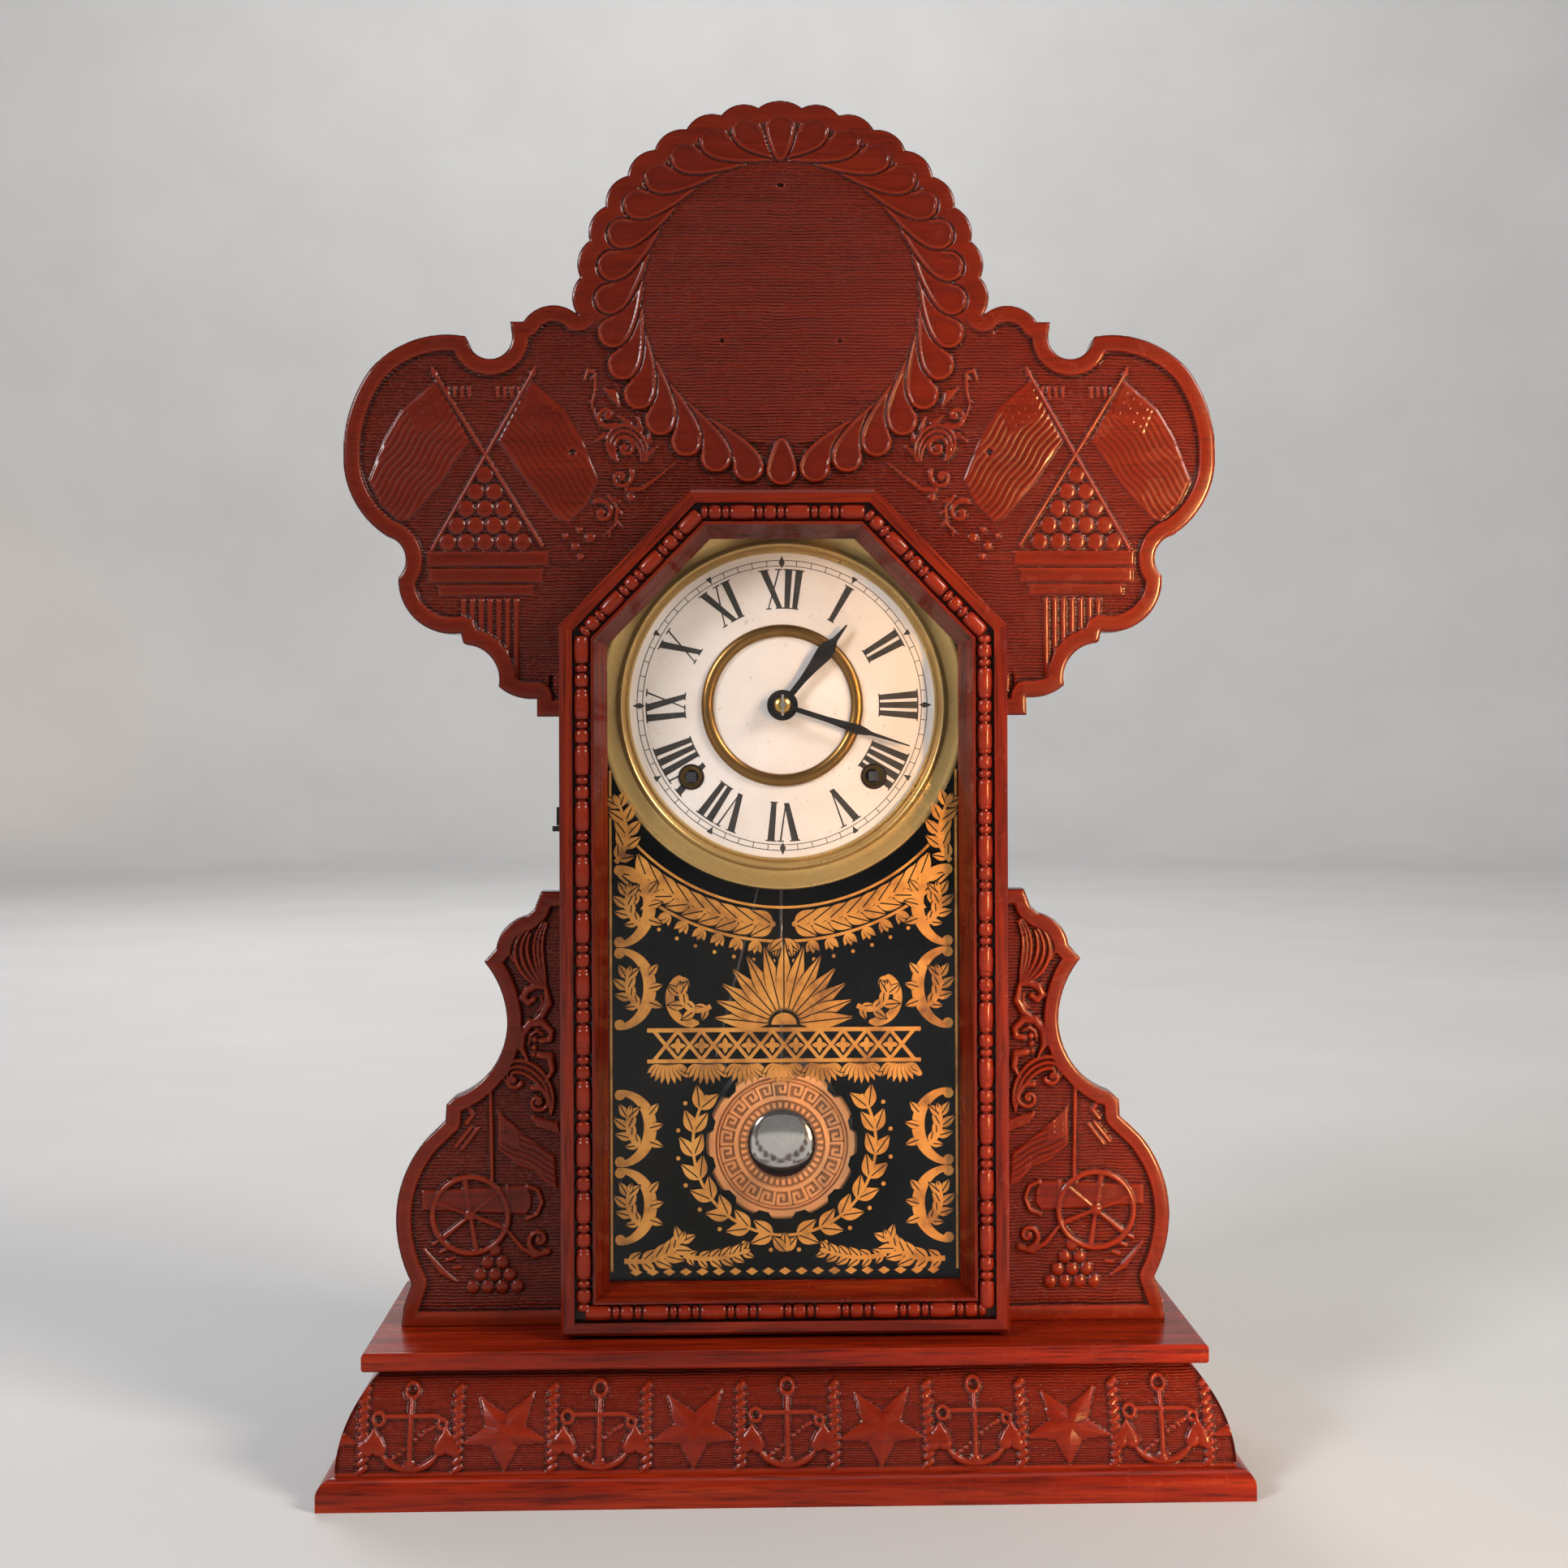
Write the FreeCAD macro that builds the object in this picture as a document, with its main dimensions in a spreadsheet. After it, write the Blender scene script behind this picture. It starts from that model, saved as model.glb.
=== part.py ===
"""Gingerbread kitchen clock: pressed-wood case, glazed door, dial, two-train movement.

Millimetres. The front faces -Y, +Z is up, and the clock stands on Z = 0 with X = 0 and
Y = 0 at the middle of its plinth.
"""
import FreeCAD, Part
import math
import os

doc = FreeCAD.newDocument("gingerbread_clock")
V = FreeCAD.Vector

# Driving sizes, read back from the sheet by every sub-part.
SIZES = {
    # base
    "base_width": 379.0, "base_depth": 124.0, "plinth_height": 12.0, "plinth_round": 6.0,
    "moulding_step": 6.6, "moulding_height": 39.0, "moulding_lean": 17.0, "moulding_wall": 10.0,
    "base_back_board": 8.0, "shelf_width": 347.6, "shelf_front_step": 15.0,
    "shelf_thickness": 7.8, "shelf_ease": 1.6,
    # case behind the door
    "case_set_back": 48.5, "case_board": 6.4, "back_thickness": 4.0,
    "crest_set_back": 2.0, "crest_thickness": 10.0, "crest_foot_rise": 260.2,
    "dome_rise": 173.9, "dome_radius": 86.8, "dome_lobe": 2.6, "dome_end_angle": 91.6,
    "dome_top_angle": 6.2, "scroll_height": 185.5,
    # door
    "door_width": 187.0, "door_height": 352.0, "door_lift": 2.2, "door_overhang": 3.0,
    "door_gap": 1.0, "door_thickness": 20.0, "cant_run": 54.8, "cant_drop": 56.5,
    "frame_width": 19.4, "bead_inset": 5.6, "bead_channel": 7.8, "bead_depth": 3.0,
    "bead_radius": 3.7, "glass_rabbet": 5.0, "glass_seat": 7.0, "glass_thickness": 2.0,
    "stop_width": 3.4, "stop_depth": 4.0,
    # hinges and latch
    "hinge_height": 30.0, "hinge_low": 60.0, "hinge_high": 225.0, "hinge_inset": 1.3,
    "hinge_radius": 1.4, "hinge_leaf": 0.45, "hinge_pin_radius": 0.7, "hinge_leaf_width": 5.6,
    "latch_rise": 214.2, "latch_back": 15.5, "latch_reach": 24.0, "latch_lift": 9.0,
    "latch_thickness": 1.5, "latch_stand_off": 3.3, "latch_screw_radius": 1.6,
    "latch_pin_radius": 1.2, "latch_pin_length": 3.8,
    # dial and hands
    "dial_rise": 264.7, "dial_set_back": 5.5, "dial_thickness": 0.8, "dial_clearance": 1.1,
    "bezel_clearance": 1.7, "bezel_flange": 5.0, "bezel_cover": 8.5, "bezel_height": 5.0, "ring_inner": 29.5,
    "ring_outer": 34.8, "ring_height": 2.3, "grommet_radius": 5.6, "winding_hole": 4.6,
    "dial_hole": 6.5, "cleat_depth": 12.0, "cleat_height": 54.0,
    "hand_thickness": 1.0, "hour_margin": 21.5, "minute_margin": 8.5, "hour_angle": 39.0,
    "minute_angle": 108.0, "hour_hub": 6.6, "minute_hub": 4.6, "collet_radius": 3.65,
    "collet_height": 1.6, "taper_pin_radius": 0.55, "taper_pin_length": 9.0,
    # movement
    "plate_set_back": 10.0, "plate_thickness": 1.5, "plate_spacing": 26.0, "plate_half": 60.0,
    "plate_above": 62.0, "plate_below": 60.0, "plate_corner": 14.0, "window_margin": 14.0,
    "window_low": 4.0, "window_high": 40.0, "pillar_radius": 3.0, "pillar_low_x": 18.0,
    "pillar_low_z": -54.0, "pillar_high_x": 52.0, "pillar_high_z": 46.0, "foot_radius": 4.0,
    "arbor_radius": 1.0, "pivot_radius": 0.9, "run_clearance": 0.05, "wheel_thickness": 1.2,
    "main_thickness": 2.2, "level_center": 1.1, "level_warning": 4.5, "level_third": 9.5,
    "level_escape": 16.5, "level_main": 18.5, "level_second": 23.0,
    "winding_x": 39.2, "winding_z": -30.6, "winding_radius": 3.0, "winding_square": 4.2,
    "second_x": 16.0, "second_z": -12.4, "third_x": 7.9, "third_z": 18.4, "escape_z": 34.0,
    "escape_radius": 15.0, "verge_rise": 19.6, "strike_second_x": -34.0, "strike_second_z": -1.0,
    "strike_third_x": -28.7, "strike_third_z": 18.7, "warning_x": -20.8, "warning_z": 32.3,
    "fly_x": -25.0, "fly_z": 43.7, "fly_reach": 10.0, "fly_length": 12.0,
    "minute_wheel_z": 13.0, "cannon_radius": 2.3, "hour_pipe_radius": 3.6, "center_radius": 1.2,
    "spring_inner": 4.2, "spring_pitch": 3.2, "spring_strip": 0.9, "spring_width": 14.0,
    "ratchet_radius": 8.0,
    # pendulum, hammer and gong
    "pendulum_length": 250.6, "rod_radius": 1.2, "bob_radius": 34.0,
    "bob_thickness": 4.4, "boss_radius": 15.8, "boss_height": 3.2, "crutch_length": 45.0,
    "suspension_length": 16.1, "post_rise": 3.1, "post_radius": 2.0, "post_reach": 9.0,
    "hammer_x": -9.7, "hammer_z": -44.0, "hammer_head_x": -31.0, "hammer_drop": 119.5,
    "hammer_knee": -80.0, "hammer_wire": 1.2, "hammer_head_radius": 4.0, "hammer_head_length": 12.0,
    "gong_rise": 76.2, "gong_post_radius": 9.0, "gong_wire": 2.0,
    "gong_pitch": 5.4,
}

# Places that follow from the driving sizes.
PLACES = {
    "shelf_under": "plinth_height + moulding_height",
    "shelf_top": "shelf_under + shelf_thickness",
    "back_face": "base_depth / 2",
    "case_front": "case_set_back - base_depth / 2",
    "case_inside_back": "back_face - back_thickness",
    "case_half": "door_width / 2 - door_overhang",
    "crest_front": "case_front + crest_set_back",
    "crest_foot": "shelf_top + crest_foot_rise",
    "door_bottom": "shelf_top + door_lift",
    "door_top": "door_bottom + door_height",
    "door_back": "case_front - door_gap",
    "door_front": "door_back - door_thickness",
    "hinge_x": "door_width / 2 - hinge_inset",
    "hinge_y": "case_front - door_gap / 2",
    "latch_y": "case_front + latch_back",
    "latch_z": "shelf_top + latch_rise",
    "dial_z": "shelf_top + dial_rise",
    "dial_face": "case_front + dial_set_back",
    "cant_length": "sqrt(cant_run ^ 2 + cant_drop ^ 2)",
    "cant_middle": "door_width / 2 * cant_drop + (door_top - cant_drop - dial_z) * cant_run",
    "cant_reach": "cant_middle / cant_length - door_overhang - case_board",
    "top_reach": "door_top - dial_z - door_overhang - case_board",
    "bezel_radius": "min(cant_reach - bezel_clearance; top_reach - dial_clearance)",
    "dial_radius": "bezel_radius - bezel_flange",
    "bezel_sight": "dial_radius - bezel_cover",
    "cleat_width": "case_half - case_board - dial_radius - dial_clearance",
    "hour_length": "bezel_sight - hour_margin",
    "minute_length": "bezel_sight - minute_margin",
    "plate_front": "dial_face + plate_set_back",
    "plate_inside": "plate_front + plate_thickness",
    "plate_back": "plate_inside + plate_spacing",
    "plate_rear": "plate_back + plate_thickness",
    "rear_room": "case_inside_back - plate_rear",
    "pendulum_set_back": "rear_room * 5 / 27",
    "gong_set_back": "rear_room * 17 / 27",
    "gong_flange": "rear_room * 4 / 27",
    "crutch_y": "plate_rear + rear_room * 0.8 / 27",
    "crutch_thickness": "rear_room / 27",
    "suspension_width": "rear_room * 5 / 27",
    "pendulum_y": "plate_rear + pendulum_set_back",
    "verge_z": "escape_z + verge_rise",
    "bob_z": "dial_z + verge_z - pendulum_length",
    "spring_top": "dial_z + verge_z + post_rise - post_radius - 0.2",
    "gong_y": "plate_rear + gong_set_back",
    "gong_z": "shelf_top + gong_rise",
    "hour_hand_y": "dial_face - ring_height - 0.9 - hand_thickness",
    "minute_hand_y": "hour_hand_y - 2.4 * hand_thickness",
}

sheet = doc.addObject("Spreadsheet::Sheet", "Sizes")
for row, (alias, value) in enumerate(list(SIZES.items()) + list(PLACES.items()), 1):
    text = "=" + value if isinstance(value, str) else str(value)
    sheet.set(f"A{row}", alias)
    sheet.set(f"B{row}", text)
    sheet.setAlias(f"B{row}", alias)
doc.recompute()


def at(alias):
    """Value of one named size."""
    return float(getattr(sheet, alias))


def bind(obj, prop, text):
    """Bind a property to an expression in which every sheet name is written bare."""
    words = []
    word = ""
    for mark in text + " ":
        if mark.isalnum() or mark == "_":
            word += mark
            continue
        if word in SIZES or word in PLACES:
            word = "Sizes." + word
        words.append(word)
        words.append(mark)
        word = ""
    obj.setExpression(prop, "".join(words).strip())


# Helpers for sketched bodies.

def origin(body, role):
    return [item for item in body.Origin.OriginFeatures if item.Role == role][0]


def edges_of(path):
    """Edges of a closed outline: points, or (middle, end) pairs for arcs."""
    edges = []
    here = path[0]
    for step in list(path[1:]) + [path[0]]:
        if isinstance(step[0], tuple):
            middle, end = step
            edges.append(Part.Arc(V(*here), V(*middle), V(*end)))
        else:
            end = step
            edges.append(Part.LineSegment(V(*here), V(*end)))
        here = end
    return edges


def circle(x, z, radius):
    return Part.Circle(V(x, z, 0), V(0, 0, 1), radius)


def sketch(body, name, plane, edges, offset=None):
    item = body.newObject("Sketcher::SketchObject", name)
    item.AttachmentSupport = [(origin(body, plane), "")]
    item.MapMode = "FlatFace"
    if offset:
        bind(item, "AttachmentOffset.Base.z", offset)
    item.addGeometry(edges, False)
    return item


def pad(body, profile, length, reverse=False, symmetric=False):
    item = body.newObject("PartDesign::Pad", profile.Name + "_pad")
    item.Profile = profile
    bind(item, "Length", length)
    item.Reversed = reverse
    if symmetric:
        item.SideType = "Symmetric"
    doc.recompute()
    return item


def pocket_through(body, profile):
    item = body.newObject("PartDesign::Pocket", profile.Name + "_pocket")
    item.Profile = profile
    item.Type = "ThroughAll"
    item.SideType = "Symmetric"
    doc.recompute()
    return item


def fillet(body, base, radius, wanted):
    """Round the edges whose middle point the test wanted() picks."""
    names = []
    for number, edge in enumerate(base.Shape.Edges, 1):
        box = edge.BoundBox
        if wanted(box):
            names.append(f"Edge{number}")
    item = body.newObject("PartDesign::Fillet", body.Name + "_ease")
    item.Base = (base, names)
    bind(item, "Radius", radius)
    doc.recompute()
    return item


parts = {}


def keep(label, item):
    item.Label = label
    parts[label] = item
    return item


def board(label, loops, front, thickness, kept=True):
    """Flat board seen from the front: outline loops in X and Z, its front face at Y = front."""
    body = doc.addObject("PartDesign::Body", label + "_body")
    profile = sketch(body, label + "_outline", "XZ_Plane", [e for loop in loops for e in loop],
                     f"-({front})")
    pad(body, profile, thickness, reverse=True)
    return keep(label, body) if kept else body


def turned(label, profile, x, z, kept=True):
    """Turned piece: (radius, Y) outline spun about the Y axis through X = x, Z = z."""
    body = doc.addObject("PartDesign::Body", label + "_body")
    outline = sketch(body, label + "_profile", "XY_Plane", edges_of(profile))
    spin = body.newObject("PartDesign::Revolution", label + "_spin")
    spin.Profile = outline
    spin.ReferenceAxis = (origin(body, "Y_Axis"), [""])
    spin.Angle = 360.0
    bind(body, "Placement.Base.x", x)
    bind(body, "Placement.Base.z", z)
    doc.recompute()
    return keep(label, body) if kept else body


def box(name, x, y, z, dx, dy, dz):
    item = doc.addObject("Part::Box", name)
    for prop, text in (("Length", dx), ("Width", dy), ("Height", dz), ("Placement.Base.x", x),
                       ("Placement.Base.y", y), ("Placement.Base.z", z)):
        bind(item, prop, text)
    return item


def rod(name, x, y, z, radius, length, axis="Y"):
    """Cylinder that starts at (x, y, z) and runs along +axis."""
    item = doc.addObject("Part::Cylinder", name)
    bind(item, "Radius", radius)
    bind(item, "Height", length)
    turns = {"X": FreeCAD.Rotation(V(0, 1, 0), 90), "Y": FreeCAD.Rotation(V(1, 0, 0), -90),
             "Z": FreeCAD.Rotation()}
    item.Placement = FreeCAD.Placement(V(), turns[axis])
    for prop, text in (("Placement.Base.x", x), ("Placement.Base.y", y), ("Placement.Base.z", z)):
        bind(item, prop, text)
    return item


def solid(name, shape):
    item = doc.addObject("Part::Feature", name)
    item.Shape = shape
    return item


def fuse(name, items):
    item = doc.addObject("Part::MultiFuse", name)
    item.Shapes = items
    doc.recompute()
    return item


def cut(name, base, tool):
    item = doc.addObject("Part::Cut", name)
    item.Base = base
    item.Tool = tool
    doc.recompute()
    return item


def group(name, items):
    item = doc.addObject("Part::Compound", name)
    item.Links = items
    doc.recompute()
    return item


def twin(label, item):
    """The piece and its mirror image on the other side of the clock."""
    mirror = doc.addObject("Part::Mirroring", label + "_mirror")
    mirror.Source = item
    mirror.Normal = V(1, 0, 0)
    doc.recompute()
    return keep(label, group(label + "_pair", [item, mirror]))


# The six-sided outline that case, door, glass and crest opening share.

def house(inset, foot):
    """Corners of the outline moved in by inset, from lower left round to lower right."""
    run, drop = at("cant_run"), at("cant_drop")
    length = math.hypot(run, drop)
    nx, nz = drop / length, run / length
    half = at("door_width") / 2 - inset
    top = at("door_top") - inset
    reach = nx * at("door_width") / 2 + nz * (at("door_top") - drop) - inset
    top_x = (reach - nz * top) / nx
    side_z = (reach - nx * half) / nz
    return [(-half, foot), (-half, side_z), (-top_x, top), (top_x, top), (half, side_z), (half, foot)]


def mitred(section, side, foot_moves):
    """One straight member of the outline: section is (inset, Y) corners, side counts round."""
    ends = []
    for corner in (side, side + 1):
        points = []
        for inset, y in section:
            foot = at("door_bottom") + inset if foot_moves else at("shelf_top")
            x, z = house(inset, foot)[corner % 6]
            points.append(V(x, y, z))
        ends.append(points)
    first, last = ends
    loops = [first, last]
    for here in range(len(section)):
        ahead = (here + 1) % len(section)
        loops.append([first[here], first[ahead], last[ahead], last[here]])
    shell = Part.Shell([Part.Face(Part.makePolygon(loop + loop[:1])) for loop in loops])
    shell.sewShape()
    member = Part.Solid(shell)
    if member.Volume < 0:
        member.reverse()
    return member


# Base: plinth board, carved front moulding with mitred returns, back rail, shelf.

def plinth():
    body = doc.addObject("PartDesign::Body", "plinth_body")
    half, deep = at("base_width") / 2, at("base_depth") / 2
    outline = edges_of([(-half, -deep), (half, -deep), (half, deep), (-half, deep)])
    slab = pad(body, sketch(body, "plinth_outline", "XY_Plane", outline), "plinth_height")
    height = at("plinth_height")

    def top_but_back(item):
        return item.ZMin > height - 0.01 and item.YMin < deep - 0.01

    fillet(body, slab, "plinth_round", top_but_back)
    keep("plinth", body)


def moulding_profile():
    """Section of the base moulding: distance in from the plinth edge against height."""
    low, high = at("plinth_height"), at("shelf_under")
    step, lean, wall = at("moulding_step"), at("moulding_lean"), at("moulding_wall")
    radius = (lean ** 2 + (high - low) ** 2) / (2 * lean)
    half_angle = 0.5 * math.asin((high - low) / radius)
    middle = (step + radius * (1 - math.cos(half_angle)), low + radius * math.sin(half_angle))
    return (step, low), middle, (step + lean, high), (step + lean + wall, high), (step + lean + wall, low)


def base_front():
    edge = at("base_depth") / 2
    half = at("base_width") / 2
    low_out, middle, high_out, high_in, low_in = [(d - edge, z) for d, z in moulding_profile()]
    body = doc.addObject("PartDesign::Body", "base_front_body")
    path = [low_out, (middle, high_out), high_in, low_in]
    pad(body, sketch(body, "base_front_section", "YZ_Plane", edges_of(path)),
        "base_width - 2 * moulding_step", symmetric=True)
    mitres = []
    for sign in (-1, 1):
        mitres += edges_of([(sign * half, -edge), (sign * (half - edge), 0), (sign * half * 1.2, 0),
                            (sign * half * 1.2, -edge)])
    pocket_through(body, sketch(body, "base_front_mitres", "XY_Plane", mitres))
    keep("base_front", body)


def base_sides():
    edge = at("base_depth") / 2
    half = at("base_width") / 2
    low_out, middle, high_out, high_in, low_in = [(half - d, z) for d, z in moulding_profile()]
    body = doc.addObject("PartDesign::Body", "base_side_body")
    path = [low_out, (middle, high_out), high_in, low_in]
    pad(body, sketch(body, "base_side_section", "XZ_Plane", edges_of(path)), "base_depth", symmetric=True)
    mitre = edges_of([(half, -edge), (half - edge, 0), (0, 0), (0, -edge * 1.2), (half, -edge * 1.2)])
    pocket_through(body, sketch(body, "base_side_mitre", "XY_Plane", mitre))
    twin("base_sides", body)


def base_back():
    inner = "base_width / 2 - moulding_step - moulding_lean - moulding_wall"
    keep("base_back", box("base_back_rail", f"-({inner})", "back_face - base_back_board", "plinth_height",
                          f"2 * ({inner})", "base_back_board", "moulding_height"))


def shelf():
    body = doc.addObject("PartDesign::Body", "shelf_body")
    half, deep = at("shelf_width") / 2, at("base_depth") / 2
    front = at("shelf_front_step") - deep
    outline = edges_of([(-half, front), (half, front), (half, deep), (-half, deep)])
    slab = pad(body, sketch(body, "shelf_outline", "XY_Plane", outline, "shelf_under"), "shelf_thickness")

    def rim_but_back(item):
        return item.ZLength < 0.01 and item.YMin < deep - 0.01

    fillet(body, slab, "shelf_ease", rim_but_back)
    keep("shelf", body)


# Case: boards that follow the six-sided outline, with the crest and scrolls planted round them.

def case_boards():
    outer = at("door_overhang")
    inner = outer + at("case_board")
    front, rear = at("case_front"), at("case_inside_back")
    section = [(outer, front), (outer, rear), (inner, rear), (inner, front)]
    twin("case_sides", solid("case_side", mitred(section, 0, False)))
    twin("case_cants", solid("case_cant", mitred(section, 1, False)))
    keep("case_top", solid("case_top_board", mitred(section, 2, False)))
    board("back_board", [edges_of(house(outer, at("shelf_top")))], "case_inside_back", "back_thickness")


def scaled(path, unit):
    """Outline points and (middle, end) arc pairs, all times one factor."""
    return [scaled(step, unit) if isinstance(step[0], tuple) else (step[0] * unit, step[1] * unit)
            for step in path]


def crest_side():
    """Right half of the crest outline from its foot up to the dome: (out from case, up) points,
    drawn for a dome 173.9 above the foot and scaled with it."""
    shape = [
        (14.3, 0.0), (14.3, 7.6), (15.0, 7.6), ((24.5, 9.0), (30.6, 12.8)), (30.3, 15.2),
        ((33.4, 24.9), (44.5, 30.8)), (45.6, 31.5), (46.6, 35.7), ((68.1, 44.0), (73.0, 59.7)),
        ((69.9, 66.6), (77.8, 77.0)), ((90.0, 89.2), (96.2, 111.7)), ((93.5, 130.8), (84.8, 148.2)),
        ((67.4, 160.3), (44.2, 162.4)), (43.1, 160.3), ((34.1, 152.7), (24.4, 163.1)), (25.1, 168.6),
        (19.5, 168.6),
    ]
    return scaled(shape, at("dome_rise") / 173.9)


def crest_board():
    case_half, foot = at("case_half"), at("crest_foot")

    def place(point, sign):
        if isinstance(point[0], tuple):
            return tuple(place(p, sign) for p in point)
        return (sign * (case_half + point[0]), foot + point[1])

    def on_dome(angle, extra):
        radius = at("dome_radius") + extra
        turn = math.radians(angle)
        return (radius * math.sin(turn), foot + at("dome_rise") + radius * math.cos(turn))

    right = [place(p, 1) for p in crest_side()]
    left = [place(p, -1) for p in crest_side()]
    shoulder = scaled([(7.7, 175.6)], at("dome_rise") / 173.9)[0]
    end, top = at("dome_end_angle"), at("dome_top_angle")
    lobes = 8
    cusps = [end + (top - end) * k / lobes for k in range(lobes + 1)]
    cusps += [-angle for angle in reversed(cusps)]
    path = right + [(place(shoulder, 1), on_dome(cusps[0], 0))]
    for here, there in zip(cusps, cusps[1:]):
        path.append((on_dome((here + there) / 2, at("dome_lobe")), on_dome(there, 0)))
    path.append((place(shoulder, -1), left[-1]))
    # The left side is the right side run backwards, so each arc's ends change places.
    for index in range(len(left) - 1, 0, -1):
        before = left[index - 1]
        before = before[1] if isinstance(before[0], tuple) else before
        here = left[index]
        path.append((here[0], before) if isinstance(here[0], tuple) else before)
    opening = house(at("door_overhang"), foot)
    path += opening
    board("crest_board", [edges_of(path)], "crest_front", "crest_thickness")


def side_scrolls():
    case_half, foot = at("case_half"), at("shelf_top")
    shape = [
        (0.0, 0.0), (73.0, 0.0), (71.9, 9.2), (68.5, 18.6), ((72.6, 29.0), (75.1, 45.7)),
        ((71.9, 63.7), (62.6, 79.7)), (53.9, 88.0), (53.5, 94.9), (50.4, 97.7),
        ((31.3, 114.4), (27.5, 129.3)), ((31.3, 146.3), (37.2, 155.7)), (32.0, 161.6),
        ((29.6, 168.2), (19.2, 175.1)), (15.7, 178.2), (12.9, 185.5), (0.0, 185.5),
    ]
    shape = scaled(shape, at("scroll_height") / 185.5)

    def place(point):
        if isinstance(point[0], tuple):
            return tuple(place(p) for p in point)
        return (case_half + point[0], foot + point[1])

    outline = edges_of([place(p) for p in shape])
    body = board("side_scroll", [outline], "crest_front", "crest_thickness", False)
    twin("side_scrolls", body)


# Door: six mitred members, beading in their channel, glass in a rabbet, stops behind it.

def door():
    back, front = at("door_back"), at("door_front")
    wide, seat = at("frame_width"), at("glass_seat")
    rabbet = wide - at("glass_rabbet")
    groove = at("bead_inset")
    groove_end = groove + at("bead_channel")
    floor = front + at("bead_depth")
    section = [
        (0, back), (0, front + 1.4), (1.4, front), (groove, front), (groove, floor), (groove_end, floor),
        (groove_end, front), (groove_end + 1.2, front), (wide, back - seat - 1.0), (wide, back - seat),
        (rabbet, back - seat), (rabbet, back),
    ]
    keep("door_stile_left", solid("stile_left", mitred(section, 0, True)))
    twin("door_cants", solid("door_cant", mitred(section, 1, True)))
    keep("door_top_rail", solid("top_rail", mitred(section, 2, True)))
    keep("door_bottom_rail", solid("bottom_rail", mitred(section, 5, True)))
    notches = []
    for name in ("hinge_low", "hinge_high"):
        notches.append(box(name + "_notch", "hinge_x - hinge_radius - 0.4", "door_back - hinge_radius + 0.1",
                           f"shelf_top + {name} - 0.4", "2 * hinge_radius + 4", "hinge_radius + 1",
                           "hinge_height + 0.8"))
    stile = solid("stile_right", mitred(section, 4, True))
    keep("door_stile_right", cut("stile_notched", stile, fuse("hinge_notches", notches)))

    radius = at("bead_radius")
    middle = (groove + groove_end) / 2
    half_round = []
    for step in range(9):
        turn = math.pi * step / 8
        half_round.append((middle - radius * math.cos(turn), floor - radius * math.sin(turn)))
    strips = [solid(f"bead_{side}", mitred(half_round, side, True)) for side in range(6)]
    keep("door_beading", group("bead_strips", strips))

    pane = house(rabbet + 0.4, at("door_bottom") + rabbet + 0.4)
    board("door_glass", [edges_of(pane)], "door_back - glass_seat", "glass_thickness")
    behind = back - seat + at("glass_thickness")
    stop_end = rabbet + at("stop_width")
    rear = behind + at("stop_depth")
    stop = [(rabbet, behind), (stop_end, behind), (rabbet + 0.4 * at("stop_width"), rear), (rabbet, rear)]
    stops = [solid(f"stop_{side}", mitred(stop, side, True)) for side in range(6)]
    keep("glass_stops", group("stop_strips", stops))


# Hinges on the right edge, hook latch on the left.

def hinges():
    leaf_items, door_items, pins = [], [], []
    for name in ("hinge_low", "hinge_high"):
        low = f"shelf_top + {name}"
        knuckle = "hinge_height / 5"
        barrel = {"case": [], "door": []}
        for step in range(5):
            owner = "door" if step % 2 else "case"
            start = f"{low} + {step} * {knuckle} + 0.1"
            tall = f"{knuckle} - 0.2"
            barrel[owner].append(rod(f"{name}_knuckle_{step}", "hinge_x", "hinge_y", start, "hinge_radius",
                                     tall, "Z"))
            y = "case_front - hinge_leaf" if owner == "case" else "door_back"
            barrel[owner].append(box(f"{name}_web_{step}", "hinge_x - hinge_radius - 1.0", y, start,
                                     "hinge_radius + 1.0", "hinge_leaf", tall))
        for owner, y in (("case", "case_front - hinge_leaf"), ("door", "door_back")):
            edge = "hinge_x - hinge_radius - 0.5 - hinge_leaf_width"
            barrel[owner].append(box(f"{name}_{owner}_plate", edge, y, f"{low} + 0.1",
                                     "hinge_leaf_width", "hinge_leaf", "hinge_height - 0.2"))
            bore = rod(f"{name}_{owner}_bore", "hinge_x", "hinge_y", low, "hinge_pin_radius + run_clearance",
                       "hinge_height", "Z")
            leaf = cut(f"{name}_{owner}_leaf", fuse(f"{name}_{owner}_blank", barrel[owner]), bore)
            (leaf_items if owner == "case" else door_items).append(leaf)
        pins.append(rod(f"{name}_pin", "hinge_x", "hinge_y", low, "hinge_pin_radius", "hinge_height", "Z"))
    keep("hinge_case_leaves", group("case_leaves", leaf_items + pins))
    keep("hinge_door_leaves", group("door_leaves", door_items))


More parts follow.
